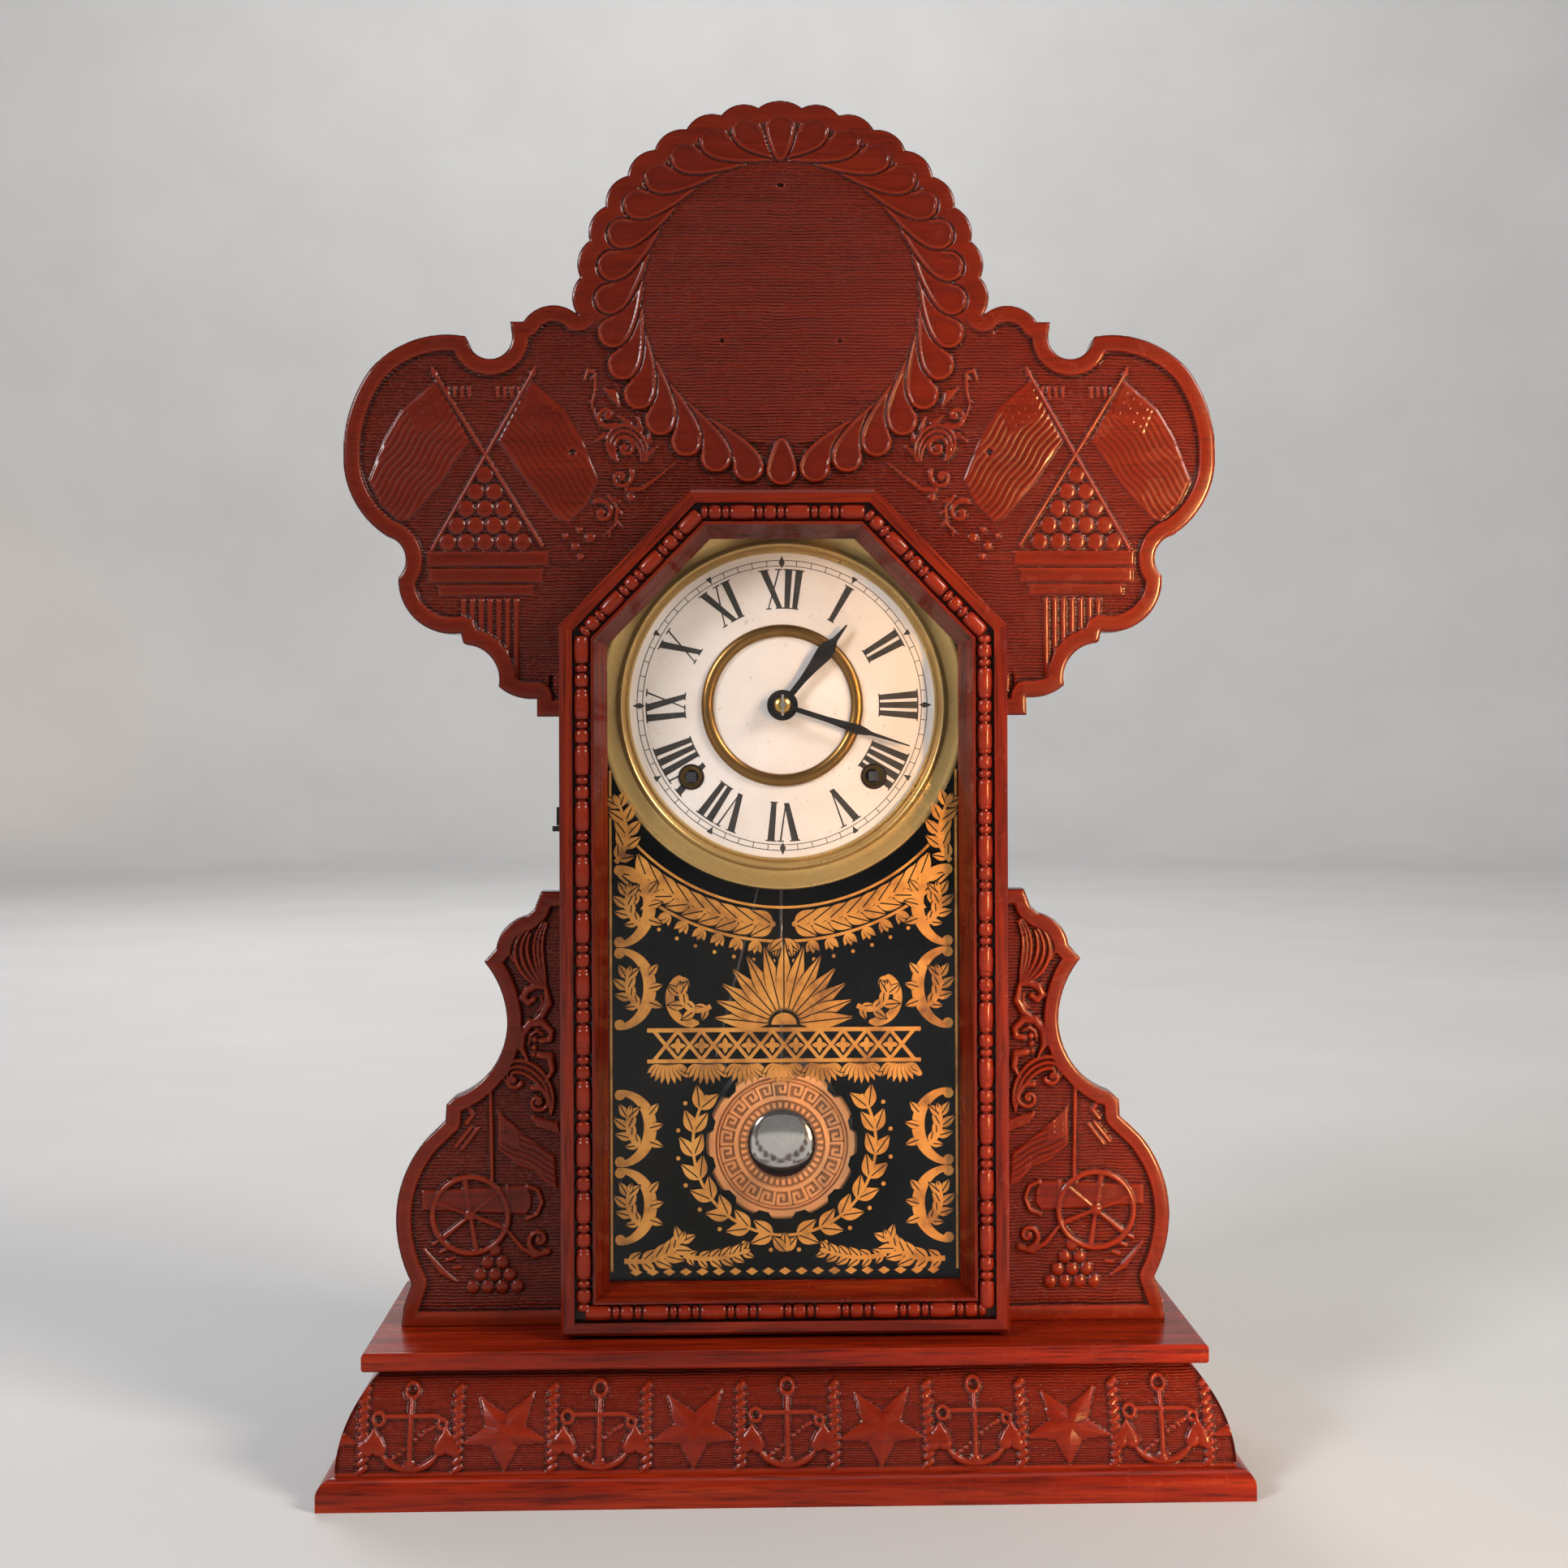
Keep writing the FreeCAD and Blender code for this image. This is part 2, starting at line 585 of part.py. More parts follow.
def latch():
    pivot_y, pivot_z = at("latch_y"), at("latch_z")
    pin_y = pivot_y - at("latch_reach")
    gap = at("latch_pin_radius") + 0.2
    lift = math.radians(at("latch_lift"))

    def lifted(y, z):
        # The hook is drawn latched and turned up about its screw, clear of the door's pin.
        dy, dz = y - pivot_y, z
        return (pivot_y + dy * math.cos(lift) + dz * math.sin(lift),
                pivot_z - dy * math.sin(lift) + dz * math.cos(lift))

    path = [(pivot_y + 4, -2.5), (pivot_y + 4, 2.5), (pin_y + 6, 2.5), (pin_y + 1, 3.5), (pin_y - 4, 3.5),
            (pin_y - 4, -4.0), (pin_y - gap, -4.0), (pin_y - gap, 0.0), (pin_y + gap, 0.0),
            (pin_y + gap, -2.5)]
    outline = edges_of([lifted(*p) for p in path])
    outline.append(circle(pivot_y, pivot_z, at("latch_screw_radius") + at("run_clearance")))
    body = doc.addObject("PartDesign::Body", "latch_hook_body")
    profile = sketch(body, "latch_outline", "YZ_Plane", outline, "-(case_half + latch_stand_off)")
    pad(body, profile, "latch_thickness", reverse=True)
    keep("latch_hook", body)
    reach = "latch_stand_off + latch_thickness + 1.3"
    screw = [
        rod("latch_boss", "-(case_half + latch_stand_off - 0.15)", "latch_y", "latch_z", "3",
            "latch_stand_off - 0.15", "X"),
        rod("latch_shank", f"-(case_half + {reach})", "latch_y", "latch_z", "latch_screw_radius", reach, "X"),
        rod("latch_head", f"-(case_half + {reach})", "latch_y", "latch_z", "2.8", "1.1", "X"),
    ]
    keep("latch_screw", fuse("latch_screw_solid", screw))
    keep("latch_pin", rod("latch_pin_rod", "-(door_width / 2 + latch_pin_length)", "latch_y - latch_reach",
                          "latch_z - latch_pin_radius - 0.2", "latch_pin_radius", "latch_pin_length", "X"))


# Dial: printed plate under a stepped brass bezel, carried by two cleats in the case.

def dial():
    face = at("dial_face")
    sight, rim, high = at("bezel_sight"), at("bezel_radius"), at("bezel_height")
    span = rim - sight
    bezel = [(rim, face), (rim, face - 0.2 * high), (rim - 0.12 * span, face - 0.34 * high),
             (rim - 0.30 * span, face - 0.8 * high), (rim - 0.5 * span, face - high),
             (rim - 0.72 * span, face - 0.85 * high), (rim - 0.9 * span, face - 0.45 * high),
             (sight, face - 0.2 * high), (sight, face)]
    turned("dial_bezel", bezel, "0", "dial_z")
    holes = [circle(0, 0, at("dial_radius")), circle(0, 0, at("dial_hole"))]
    for sign in (-1, 1):
        holes.append(circle(sign * at("winding_x"), at("winding_z"), at("winding_hole")))
    plate = board("dial_plate", [holes], "dial_face", "dial_thickness")
    bind(plate, "Placement.Base.z", "dial_z")
    inner, outer, ring = at("ring_inner"), at("ring_outer"), at("ring_height")
    wide = outer - inner
    half_round = [(inner, face), (inner + 0.15 * wide, face - 0.7 * ring), (inner + 0.5 * wide, face - ring),
                  (outer - 0.15 * wide, face - 0.7 * ring), (outer, face)]
    turned("dial_ring", half_round, "0", "dial_z")
    hole, brim = at("winding_hole"), at("grommet_radius")
    eyelet = [(hole, face), (hole, face - 0.7), (brim - 0.4, face - 0.7), (brim, face)]
    eyelets = turned("eyelet", eyelet, "winding_x", "dial_z + winding_z", False)
    twin("winding_grommets", eyelets)
    cleat = box("cleat", "case_half - case_board - cleat_width", "dial_face", "dial_z - cleat_height / 2",
                "cleat_width", "cleat_depth", "cleat_height")
    twin("dial_cleats", cleat)


def hand(label, angle, blade, hub, bore, y):
    """Flat hand: blade is (half width, distance) points, turned clockwise from twelve."""
    body = doc.addObject("PartDesign::Body", label + "_body")
    turn = math.radians(angle)

    def place(x, r):
        return (x * math.cos(turn) + r * math.sin(turn), -x * math.sin(turn) + r * math.cos(turn))

    points = [place(w, r) for w, r in blade] + [place(-w, r) for w, r in reversed(blade)]
    for name, edges in (("_blade", edges_of(points)), ("_hub", [circle(0, 0, hub)])):
        pad(body, sketch(body, label + name, "XZ_Plane", edges, f"-({y})"), "hand_thickness", True)
    pocket_through(body, sketch(body, label + "_bore", "XZ_Plane", [circle(0, 0, bore)]))
    bind(body, "Placement.Base.z", "dial_z")
    keep(label, body)


def hands():
    long = at("hour_length")
    blade = [(1.3, 0.9 * at("hour_hub")), (1.5, 0.32 * long), (2.2, 0.46 * long), (3.6, 0.65 * long),
             (3.0, 0.73 * long), (1.2, 0.82 * long), (0.35, long)]
    hand("hour_hand", at("hour_angle"), blade, at("hour_hub"), at("hour_pipe_radius") + 0.03, "hour_hand_y")
    long = at("minute_length")
    blade = [(1.1, 0.9 * at("minute_hub")), (1.2, 0.35 * long), (2.1, 0.60 * long), (1.6, 0.65 * long),
             (0.8, 0.70 * long), (0.3, long)]
    bore = at("center_radius") + 0.03
    hand("minute_hand", at("minute_angle"), blade, at("minute_hub"), bore, "minute_hand_y")
    front = at("minute_hand_y")
    radius, high = at("collet_radius"), at("collet_height")
    dome = [(bore, front), (radius, front), (0.85 * radius, front - 0.6 * high),
            (0.55 * radius, front - high), (bore, front - high)]
    turned("hand_collet", dome, "0", "dial_z")
    pin_y = "minute_hand_y - collet_height - taper_pin_radius - 0.1"
    keep("taper_pin", rod("taper_pin_rod", "0", pin_y, "dial_z - taper_pin_length / 2", "taper_pin_radius",
                          "taper_pin_length", "Z"))


# Movement: toothed wheels on arbors between two plates.

def toothed(teeth, module, y, thickness, phase, tip_share=0.16, root_share=0.44):
    """Straight-sided gear blank centred on the Y axis, a tooth at the angle phase."""
    pitch = module * teeth / 2
    low, high = pitch - 1.15 * module, pitch + 0.75 * module
    step = 2 * math.pi / teeth
    points = []
    for k in range(teeth):
        middle = phase + k * step
        for radius, share in ((low, -root_share), (high, -tip_share), (high, tip_share), (low, root_share)):
            turn = middle + share * step / 2
            points.append(V(radius * math.cos(turn), y, radius * math.sin(turn)))
    return Part.Face(Part.makePolygon(points + points[:1])).extrude(V(0, thickness, 0))


def crossed(blank, module, teeth, y, thickness, hub, spokes):
    """Cut the wheel open between straight spokes, hub and rim."""
    rim = module * teeth / 2 - 3.0 * module
    gap = 2 * math.pi / spokes
    for k in range(spokes):
        middle = gap * (k + 0.5)
        wide_in = 0.5 * gap - 1.3 / hub
        wide_out = 0.5 * gap - 1.3 / rim
        points = []
        for radius, half in ((hub, -wide_in), (rim, -wide_out), (rim, 0), (rim, wide_out), (hub, wide_in)):
            turn = middle + half
            points.append(V(radius * math.cos(turn), y, radius * math.sin(turn)))
        window = Part.Face(Part.makePolygon(points + points[:1])).extrude(V(0, thickness, 0))
        blank = blank.cut(window)
    return blank


def mesh(driver, driven):
    """Module and pinion phase for a wheel at driver that turns a pinion at driven."""
    x1, z1, teeth1, phase1 = driver
    x2, z2, teeth2 = driven
    module = 2 * math.hypot(x2 - x1, z2 - z1) / (teeth1 + teeth2)
    line = math.atan2(z2 - z1, x2 - x1)
    step = 2 * math.pi / teeth1
    lead = (phase1 - line) % step
    phase2 = line + math.pi - lead * teeth1 / teeth2 + math.pi / teeth2
    return module, phase2


def level(name):
    return at("plate_inside") + at("level_" + name)


def placed(item, x, z):
    bind(item, "Placement.Base.x", x)
    bind(item, "Placement.Base.z", f"dial_z + {z}")


def arbor(label, x, z, pieces):
    """Wheel and pinion blanks on an arbor with a pivot at each end."""
    items = []
    for number, shape in enumerate(pieces):
        item = solid(f"{label}_blank_{number}", shape)
        placed(item, x, z)
        items.append(item)
    height = f"dial_z + {z}"
    items.append(rod(label + "_shaft", x, "plate_inside + 0.5", height, "arbor_radius", "plate_spacing - 1"))
    items.append(rod(label + "_pivots", x, "plate_front + 0.2", height, "pivot_radius",
                     "plate_rear - plate_front - 0.4"))
    keep(label, fuse(label + "_solid", items))


def winding(label, x, z):
    """Winding arbor with its ratchet wheel and the square that takes the key."""
    rear = at("level_main") + at("main_thickness") + 0.3
    points = []
    tip, root = at("ratchet_radius"), 0.78 * at("ratchet_radius")
    for k in range(12):
        turn = 2 * math.pi * k / 12
        points.append(V(tip * math.cos(turn), 0, tip * math.sin(turn)))
        turn += 2 * math.pi / 13
        points.append(V(root * math.cos(turn), 0, root * math.sin(turn)))
    shape = Part.Face(Part.makePolygon(points + points[:1])).extrude(V(0, 1.2, 0))
    ratchet = solid(label + "_ratchet", shape)
    placed(ratchet, x, z)
    ratchet.Placement.Base.y = at("plate_inside") + rear
    height = f"dial_z + {z}"
    items = [
        ratchet,
        rod(label + "_shaft", x, "plate_front + 0.2", height, "winding_radius",
            "plate_spacing + plate_thickness - 0.6"),
        rod(label + "_pivot", x, "plate_back - 0.6", height, "1.4", "plate_thickness + 0.4"),
        box(label + "_square", f"{x} - winding_square / 2", "dial_face + 1.0",
            f"{height} - winding_square / 2", "winding_square", "plate_set_back - 0.6", "winding_square"),
    ]
    keep(label, fuse(label + "_solid", items))


def main_wheel(label, x, z, shape):
    wheel = solid(label + "_wheel", shape)
    placed(wheel, x, z)
    bore = rod(label + "_bore", x, "plate_inside", f"dial_z + {z}", "winding_radius + run_clearance",
               "plate_spacing")
    keep(label, cut(label + "_solid", wheel, bore))


def time_train():
    thick, main = at("wheel_thickness"), at("main_thickness")
    teeth = {"main": 60, "second": 56, "second_pinion": 8, "center": 72, "center_pinion": 8, "third": 64,
             "third_pinion": 8, "escape_pinion": 6, "escape": 37}
    spot = {"main": (at("winding_x"), at("winding_z")), "second": (at("second_x"), at("second_z")),
            "center": (0.0, 0.0), "third": (at("third_x"), at("third_z")), "escape": (0.0, at("escape_z"))}
    module, phase = mesh((*spot["main"], teeth["main"], 0), (*spot["second"], teeth["second_pinion"]))
    y = level("main")
    blank = toothed(teeth["main"], module, y, main, 0)
    wheel = crossed(blank, module, teeth["main"], y, main, 10, 5)
    main_wheel("time_main_wheel", "winding_x", "winding_z", wheel)
    second_pinion = toothed(teeth["second_pinion"], module, y - 0.5, main + 1.0, phase, 0.18, 0.34)

    module, phase = mesh((*spot["second"], teeth["second"], 0), (*spot["center"], teeth["center_pinion"]))
    y = level("second")
    blank = toothed(teeth["second"], module, y, thick, 0)
    wheel = crossed(blank, module, teeth["second"], y, thick, 4.5, 4)
    arbor("second_wheel", "second_x", "second_z", [second_pinion, wheel])
    center_pinion = toothed(teeth["center_pinion"], module, y - 0.5, thick + 1.0, phase, 0.18, 0.34)

    module, phase = mesh((*spot["center"], teeth["center"], 0), (*spot["third"], teeth["third_pinion"]))
    y = level("center")
    blank = toothed(teeth["center"], module, y, thick, 0)
    wheel = crossed(blank, module, teeth["center"], y, thick, 5, 4)
    third_pinion = toothed(teeth["third_pinion"], module, y - 0.4, thick + 0.8, phase, 0.18, 0.34)
    items = []
    for number, shape in enumerate((center_pinion, wheel)):
        item = solid(f"center_blank_{number}", shape)
        placed(item, "0", "0")
        items.append(item)
    items.append(rod("center_sleeve", "0", "plate_inside + level_center", "dial_z", "center_radius + 0.7",
                     "level_second - level_center"))
    bore = rod("center_bore", "0", "plate_inside", "dial_z", "center_radius + run_clearance", "plate_spacing")
    keep("center_wheel", cut("center_wheel_solid", fuse("center_wheel_blank", items), bore))

    module, phase = mesh((*spot["third"], teeth["third"], 0), (*spot["escape"], teeth["escape_pinion"]))
    y = level("third")
    blank = toothed(teeth["third"], module, y, thick, 0)
    wheel = crossed(blank, module, teeth["third"], y, thick, 4, 4)
    arbor("third_wheel", "third_x", "third_z", [third_pinion, wheel])
    escape_pinion = toothed(teeth["escape_pinion"], module, y - 0.5, thick + 1.0, phase, 0.18, 0.34)
    y = level("escape")
    radius = at("escape_radius")
    points = []
    for k in range(teeth["escape"]):
        turn = 2 * math.pi * k / teeth["escape"]
        points.append(V(radius * math.cos(turn), y, radius * math.sin(turn)))
        turn += 0.45 * 2 * math.pi / teeth["escape"]
        points.append(V(0.87 * radius * math.cos(turn), y, 0.87 * radius * math.sin(turn)))
    blank = Part.Face(Part.makePolygon(points + points[:1])).extrude(V(0, thick, 0))
    wheel = crossed(blank, 2 * radius / teeth["escape"], teeth["escape"] - 3, y, thick, 4, 4)
    arbor("escape_wheel", "0", "escape_z", [escape_pinion, wheel])
    winding("time_arbor", "winding_x", "winding_z")


def strike_train():
    thick, main = at("wheel_thickness"), at("main_thickness")
    names = ("strike_second", "strike_third", "warning", "fly")
    spot = {name: (at(name + "_x"), at(name + "_z")) for name in names}
    start = (-at("winding_x"), at("winding_z"))
    module, phase = mesh((*start, 60, 0), (*spot["strike_second"], 8))
    y = level("main")
    blank = toothed(60, module, y, main, 0)
    main_wheel("strike_main_wheel", "-winding_x", "winding_z", crossed(blank, module, 60, y, main, 10, 5))
    winding("strike_arbor", "-winding_x", "winding_z")
    pinion = toothed(8, module, y - 0.5, main + 1.0, phase, 0.18, 0.34)
    steps = (("strike_second", "strike_third", 48, 6, "second"), ("strike_third", "warning", 48, 6, "third"),
             ("warning", "fly", 42, 6, "warning"))
    for here, there, teeth, leaves, height in steps:
        module, phase = mesh((*spot[here], teeth, 0), (*spot[there], leaves))
        y = level(height)
        blank = toothed(teeth, module, y, thick, 0)
        wheel = crossed(blank, module, teeth, y, thick, 4, 4)
        arbor(here + "_wheel", here + "_x", here + "_z", [pinion, wheel])
        pinion = toothed(leaves, module, y - 0.5, thick + 1.0, phase, 0.18, 0.34)
    reach = at("fly_reach")
    vane = Part.makeBox(2 * reach, at("fly_length"), 0.5, V(-reach, level("warning") + 6, -0.25))
    arbor("fly", "fly_x", "fly_z", [pinion, vane])


def motion_work():
    reach = at("minute_wheel_z")
    front = at("plate_front")
    module, phase = mesh((0, 0, 8, 0), (0, reach, 24))
    cannon = solid("cannon_pinion", toothed(8, module, front - 2.4, 2.0, 0, 0.18, 0.34))
    placed(cannon, "0", "0")
    items = [
        cannon,
        rod("cannon_pipe", "0", "minute_hand_y + hand_thickness", "dial_z", "cannon_radius",
            "plate_front - 1 - minute_hand_y - hand_thickness"),
        rod("center_shaft", "0", "minute_hand_y - collet_height - 2 * taper_pin_radius - 1.0", "dial_z",
            "center_radius", "plate_rear - minute_hand_y + collet_height + 2 * taper_pin_radius + 0.8"),
    ]
    shaft = fuse("center_arbor_blank", items)
    cross = rod("taper_pin_hole", "0", "minute_hand_y - collet_height - taper_pin_radius - 0.1",
                "dial_z - 5", "taper_pin_radius + 0.02", "10", "Z")
    keep("center_arbor", cut("center_arbor_solid", shaft, cross))

    wheel = toothed(24, module, front - 1.8, 1.0, phase)
    module, phase = mesh((0, 0, 28, 0), (0, reach, 7))
    pinion = toothed(7, module, front - 5.0, 3.3, phase, 0.18, 0.34)
    items = [solid("minute_wheel_rim", wheel), solid("minute_pinion", pinion)]
    for item in items:
        placed(item, "0", "minute_wheel_z")
    bore = rod("minute_wheel_bore", "0", "plate_front - 6", "dial_z + minute_wheel_z",
               "1.2 + run_clearance", "8")
    keep("minute_wheel", cut("minute_wheel_solid", fuse("minute_wheel_blank", items), bore))

    rim = solid("hour_wheel_rim", toothed(28, module, front - 4.4, 1.2, 0))
    placed(rim, "0", "0")
    pipe = rod("hour_pipe", "0", "hour_hand_y - 0.3", "dial_z", "hour_pipe_radius",
               "plate_front - 3.2 - hour_hand_y + 0.3")
    bore = rod("hour_bore", "0", "hour_hand_y - 1", "dial_z", "cannon_radius + run_clearance",
               "plate_front - hour_hand_y")
    keep("hour_wheel", cut("hour_wheel_solid", fuse("hour_wheel_blank", [rim, pipe]), bore))


def pivot_spots():
    return [(at("second_x"), at("second_z")), (at("third_x"), at("third_z")), (0, at("escape_z")),
            (0, at("verge_z")), (at("strike_second_x"), at("strike_second_z")),
            (at("strike_third_x"), at("strike_third_z")), (at("warning_x"), at("warning_z")),
            (at("fly_x"), at("fly_z")), (at("hammer_x"), at("hammer_z"))]


def pillar_spots():
    low = (at("pillar_low_x"), at("pillar_low_z"))
    high = (at("pillar_high_x"), at("pillar_high_z"))
    return [(sign * x, z) for x, z in (low, high) for sign in (-1, 1)]


def plate(label, y, winding_bore):
    half, high, low = at("plate_half"), at("plate_above"), at("plate_below")
    run = at("run_clearance")
    corner = at("plate_corner")
    loops = [edges_of([(-half + corner, -low), (half - corner, -low), (half, -low + corner),
                       (half, high - corner), (half - corner, high), (-half + corner, high),
                       (-half, high - corner), (-half, -low + corner)])]
    holes = [circle(x, z, at("pivot_radius") + run) for x, z in pivot_spots()]
    holes += [circle(x, z, 1.6) for x, z in pillar_spots()]
    holes += [circle(sign * at("winding_x"), at("winding_z"), winding_bore + run) for sign in (-1, 1)]
    holes.append(circle(0, 0, at("center_radius") + run))
    loops.append(holes)
    left, right = at("third_x") + 0.5 * at("window_margin") + 1, half - at("window_margin")
    below, above = at("window_low"), at("window_high")
    loops.append(edges_of([(left, below), (right, below), (right, above), (left, above)]))
    body = board(label + "_sheet", loops, y, "plate_thickness", False)
    bind(body, "Placement.Base.z", "dial_z")
    return body


def movement_frame():
    sheet_front = plate("front_plate", "plate_front", at("winding_radius"))
    stud = rod("minute_stud", "0", "plate_front - 5.2", "dial_z + minute_wheel_z", "1.2", "5.4")
    keep("front_plate", fuse("front_plate_solid", [sheet_front, stud]))
    sheet_back = plate("back_plate", "plate_back", 1.4)
    post = rod("suspension_post", "0", "plate_back", "dial_z + verge_z + post_rise", "post_radius",
               "plate_thickness + post_reach")
    keep("back_plate", fuse("back_plate_solid", [sheet_back, post]))
    pillars = []
    spots = (("-pillar_low_x", "pillar_low_z"), ("pillar_low_x", "pillar_low_z"),
             ("-pillar_high_x", "pillar_high_z"), ("pillar_high_x", "pillar_high_z"))
    for number, (x, z) in enumerate(spots):
        height = f"dial_z + {z}"
        pillars.append(fuse(f"pillar_{number}", [
            rod(f"pillar_post_{number}", x, "plate_inside", height, "pillar_radius", "plate_spacing"),
            rod(f"pillar_thread_{number}", x, "plate_front - 1.2", height, "1.55",
                "plate_rear - plate_front + 1.4"),
            rod(f"pillar_nut_{number}", x, "plate_front - 1.2", height, "3.2", "1.2"),
            rod(f"pillar_foot_{number}", x, "plate_rear", height, "foot_radius",
                "case_inside_back - plate_rear"),
        ]))
    keep("pillars", group("pillar_set", pillars))


def spiral(center_x, center_z, y, inner, pitch, strip, width, turns):
    """Flat spring or gong strip: half circles of growing radius, drawn as one closed outline."""
    edges = []
    for base in (inner, inner + strip):
        row = []
        for k in range(2 * turns):
            radius = base + pitch * k / 2
            middle_x = center_x + (pitch / 4 if k % 2 else -pitch / 4)
            side = -1 if k % 2 else 1
            row.append(Part.Arc(V(middle_x + side * radius, y, center_z),
                                V(middle_x, y, center_z + side * radius),
                                V(middle_x - side * radius, y, center_z)))
        edges.append(row)
    first, last = edges[0][0].StartPoint, edges[1][0].StartPoint
    begin = Part.LineSegment(first, last)
    end = Part.LineSegment(edges[0][-1].EndPoint, edges[1][-1].EndPoint)
    shapes = [item.toShape() for item in edges[0] + [end] + edges[1] + [begin]]
    wire = Part.Wire(Part.__sortEdges__(shapes))
    return Part.Face(wire).extrude(V(0, width, 0))


def springs():
    coils = []
    for name, sign in (("time", 1), ("strike", -1)):
        shape = spiral(sign * at("winding_x"), at("dial_z") + at("winding_z"), at("plate_inside") + 2.5,
                       at("spring_inner"), at("spring_pitch"), at("spring_strip"), at("spring_width"), 5)
        coils.append(solid(name + "_spring", shape))
    keep("mainsprings", group("mainspring_pair", coils))


# Pendulum with its pallets and crutch, strike hammer and coil gong.

def pendulum():
    thick = at("wheel_thickness")
    y = level("escape")
    top = at("verge_rise")
    radius = at("escape_radius") + 1.5
    tip = (radius * math.cos(math.asin(radius / top)), radius * radius / top)
    arms = []
    for sign in (-1, 1):
        outer = (sign * (tip[0] + 1.0), tip[1] - top - 0.6)
        points = [V(0, y, -0.6), V(sign * tip[0], y, tip[1] - top), V(outer[0], y, outer[1]),
                  V(sign * (tip[0] + 1.4), y, tip[1] - top + 0.6), V(0, y, 1.6)]
        arms.append(Part.Face(Part.makePolygon(points + points[:1])).extrude(V(0, thick, 0)))
    anchor = solid("verge_strip", arms[0].fuse(arms[1]))
    placed(anchor, "0", "verge_z")
    height = "dial_z + verge_z"
    fork_z = f"{height} - crutch_length"
    items = [
        anchor,
        rod("verge_pivots", "0", "plate_front + 0.2", height, "pivot_radius",
            "plate_rear - plate_front + 1.6"),
        rod("verge_shaft", "0", "plate_inside + 0.5", height, "arbor_radius", "plate_spacing - 1"),
        box("crutch_arm", "-1", "crutch_y", fork_z, "2", "crutch_thickness", "crutch_length + 1"),
        box("crutch_left", "-rod_radius - 1.3", "crutch_y", fork_z, "1.0", "pendulum_set_back + 1", "2"),
        box("crutch_right", "rod_radius + 0.3", "crutch_y", fork_z, "1.0", "pendulum_set_back + 1", "2"),
        box("crutch_bridge", "-rod_radius - 1.3", "crutch_y", fork_z, "2 * rod_radius + 2.6",
            "crutch_thickness", "2"),
    ]
    keep("verge", fuse("verge_solid", items))
    strip = box("suspension_strip", "-0.15", "pendulum_y - suspension_width / 2",
                "spring_top - suspension_length", "0.3", "suspension_width", "suspension_length")
    keep("suspension_spring", strip)
    bob_top = "bob_z + bob_radius"
    keep("pendulum_rod", rod("pendulum_wire", "0", "pendulum_y", bob_top, "rod_radius",
                             f"spring_top - suspension_length - ({bob_top})", "Z"))
    radius, back = at("bob_radius"), at("pendulum_y") + 0.5 * at("bob_thickness")
    front = back - at("bob_thickness")
    disc = [(0, back), (radius, back), (radius, front + 2.4), (0.87 * radius, front + 1.4),
            (0.85 * radius, front), (0.65 * radius, front), (0.63 * radius, front + 1.4),
            (0.58 * radius, front + 0.6), (0.48 * radius, front + 0.6), (0.47 * radius, front + 1.4),
            (0, front + 1.4)]
    turned("pendulum_bob", disc, "0", "bob_z")
    seat = front + 1.4
    boss, high = at("boss_radius"), at("boss_height")
    sphere = (boss ** 2 + high ** 2) / (2 * high)
    shoulder = 0.7 * boss
    rise = math.sqrt(sphere ** 2 - shoulder ** 2) - (sphere - high)
    dome = [(0, seat), (boss, seat), ((shoulder, seat - rise), (0, seat - high))]
    turned("bob_boss", dome, "0", "bob_z")


def hammer():
    x, z = at("hammer_x"), at("hammer_z")
    y = at("gong_y")
    wire = at("hammer_wire")
    top = V(x, y, at("dial_z") + z)
    knee = V(x, y, at("dial_z") + at("hammer_knee"))
    foot = V(at("hammer_head_x"), y, at("dial_z") + z - at("hammer_drop"))
    lengths = [Part.makeCylinder(wire, (b - a).Length, a, b - a) for a, b in ((top, knee), (knee, foot))]
    stem = solid("hammer_stem", Part.makeSphere(wire, knee).multiFuse(lengths))
    height = "dial_z + hammer_z"
    items = [
        stem,
        rod("hammer_pivots", "hammer_x", "plate_front + 0.2", height, "pivot_radius",
            "gong_y - plate_front + 1"),
        rod("hammer_shaft", "hammer_x", "plate_inside + 0.5", height, "arbor_radius", "plate_spacing - 1"),
        rod("hammer_collar", "hammer_x", "gong_y - 2.2", height, "2.2", "4.4"),
        rod("hammer_head", "hammer_head_x - hammer_head_length / 2", "gong_y",
            "dial_z + hammer_z - hammer_drop", "hammer_head_radius", "hammer_head_length", "X"),
    ]
    keep("strike_hammer", fuse("strike_hammer_solid", items))


def gong():
    wire = at("gong_wire")
    inner = at("gong_post_radius") + 1.6
    shape = spiral(0, at("gong_z"), at("gong_y") - wire / 2, inner, at("gong_pitch"), wire, wire, 4)
    keep("gong_coil", solid("gong_coil_solid", shape))
    items = [
        rod("gong_post", "0", "gong_y - gong_wire", "gong_z", "gong_post_radius",
            "case_inside_back - gong_y + gong_wire"),
        rod("gong_flange", "0", "case_inside_back - gong_flange", "gong_z", "gong_post_radius + 7",
            "gong_flange"),
    ]
    keep("gong_block", fuse("gong_block_solid", items))


plinth()
base_front()
base_sides()
base_back()
shelf()
case_boards()
crest_board()
side_scrolls()
door()
hinges()
latch()
dial()
hands()
time_train()
strike_train()
motion_work()
movement_frame()
springs()
pendulum()
hammer()
gong()
doc.recompute()

for item in doc.Objects:
    if "Invalid" in item.State or "Error" in item.State:
        raise RuntimeError(f"{item.Label} did not rebuild: {item.State}")

os.makedirs("parts", exist_ok=True)
for label, item in parts.items():
    shape = item.Shape
    if shape.isNull() or not shape.isValid() or not shape.Solids:
        raise RuntimeError(f"{label} has no sound shape")
    shape.exportStep(f"parts/{label}.step")
